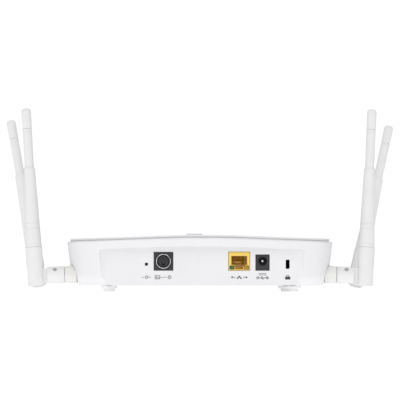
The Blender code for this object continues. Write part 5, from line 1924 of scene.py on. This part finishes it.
@dataclass
class Stage:
    """Floor, lights and camera."""

    bright_side: tuple[float, float, float] = (-0.2, -0.9, 0.38)
    dome: tuple[float, float] = (0.08, 1.02)
    floor_z: float = -4.9 * MM
    floor_size: float = 8.0
    distance: float = 1.7
    azimuth: float = math.radians(2.2)
    eye_z: float = -1.4 * MM
    aim_y: float = -52 * MM
    focal: float = 2244.0  # in widths of one part of 400 of the frame
    rise: float = 87.2
    turn: float = 1.9

    def floor(self) -> None:
        """Pale matt floor."""
        bm = bmesh.new()
        bmesh.ops.create_grid(bm, x_segments=1, y_segments=1, size=self.floor_size / 2)
        bmesh.ops.translate(bm, vec=(0.0, 0.0, self.floor_z), verts=bm.verts)
        mesh = bpy.data.meshes.new("floor")
        bm.to_mesh(mesh)
        bm.free()
        made, tree, shader = new_tree("floor_paper")
        place = add_node(tree, "TexCoord").outputs["Object"]
        cloud = add_node(tree, "TexNoise", {"Scale": 2.0, "Detail": 2.0}, {"Vector": place})
        tone = shade_ramp(tree, cloud.outputs["Fac"], linear("FBFBFB"), linear("FEFEFE"))
        tree.links.new(tone, shader.inputs["Base Color"])
        shader.inputs["Roughness"].default_value = 0.8
        shader.inputs["Specular IOR Level"].default_value = 0.1
        shader.inputs["Emission Color"].default_value = linear("FFFFFF")
        shader.inputs["Emission Strength"].default_value = 0.38
        mesh.materials.append(made)
        plane = bpy.data.objects.new("floor", mesh)
        bpy.context.scene.collection.objects.link(plane)

    def world(self) -> None:
        """White surroundings, brighter in front and above, and plain white where they are seen."""
        made = bpy.data.worlds.new("studio")
        made.use_nodes = True
        bpy.context.scene.world = made
        tree = made.node_tree
        tree.nodes.clear()
        place = add_node(tree, "TexCoord").outputs["Generated"]
        facing = add_node(tree, "VectorMath", {"operation": "DOT_PRODUCT"}, {"Vector": place})
        facing.inputs[1].default_value = self.bright_side
        low, high = self.dome
        strength = add_node(
            tree,
            "MapRange",
            {"From Min": -1.0, "From Max": 1.0, "To Min": low, "To Max": high},
            {"Value": facing.outputs["Value"]},
        )
        white = (1.0, 1.0, 1.0, 1.0)
        dome = add_node(tree, "Background", {"Color": white}, {"Strength": strength.outputs["Result"]})
        back = add_node(tree, "Background", {"Color": white, "Strength": 1.05})
        seen = add_node(tree, "LightPath").outputs["Is Camera Ray"]
        mix = tree.nodes.new("ShaderNodeMixShader")
        tree.links.new(seen, mix.inputs[0])
        tree.links.new(dome.outputs[0], mix.inputs[1])
        tree.links.new(back.outputs[0], mix.inputs[2])
        out = tree.nodes.new("ShaderNodeOutputWorld")
        tree.links.new(mix.outputs[0], out.inputs[0])

    def light(self, name: str, spot: Point, size: float, power: float) -> None:
        """Square soft light that faces the object.

        Args:
            name: The light's name.
            spot: Where it hangs.
            size: Length of its sides.
            power: Power in watts.
        """
        lamp = bpy.data.lights.new(name, "AREA")
        lamp.size, lamp.energy = size, power
        made = bpy.data.objects.new(name, lamp)
        bpy.context.scene.collection.objects.link(made)
        made.location = spot
        made.rotation_euler = (-Vector(spot)).to_track_quat("-Z", "Y").to_euler()

    def camera(self) -> None:
        """Long lens close to the floor, tipped up a little."""
        lens = bpy.data.cameras.new("camera")
        lens.sensor_width = 36.0
        lens.lens = self.focal * lens.sensor_width / 400
        lens.clip_end = 50.0
        made = bpy.data.objects.new("camera", lens)
        bpy.context.scene.collection.objects.link(made)
        across, along = self.distance * math.sin(self.azimuth), self.distance * math.cos(self.azimuth)
        spot = Vector((-across, self.aim_y - along, self.eye_z))
        yaw = math.atan2(-spot.x, self.aim_y - spot.y) - self.turn / self.focal
        pitch = math.pi / 2 + math.atan(self.rise / self.focal)
        aimed = Matrix.Rotation(-yaw, 4, "Z") @ Matrix.Rotation(pitch, 4, "X")
        made.matrix_world = Matrix.Translation(spot) @ aimed
        bpy.context.scene.camera = made

    def build(self) -> None:
        """Set the stage."""
        self.floor()
        self.world()
        self.light("key", (-0.9, -1.6, 1.0), 1.0, 2.0)
        self.light("top", (0.3, 0.5, 1.5), 1.2, 4.0)
        self.camera()
        bpy.context.scene.view_settings.view_transform = "Standard"


def main() -> None:
    """Build the access point and its stage."""
    logging.basicConfig(level=logging.INFO, format="%(name)s %(message)s")
    dress_cad_nodes()
    case = Case()
    case.build()
    sockets = Sockets(case.panel_y)
    sockets.build()
    Pictograms(case.panel_y).build(sockets)
    for antenna in Antenna.all():
        antenna.build()
    Stage().build()


if __name__ == "__main__":
    main()
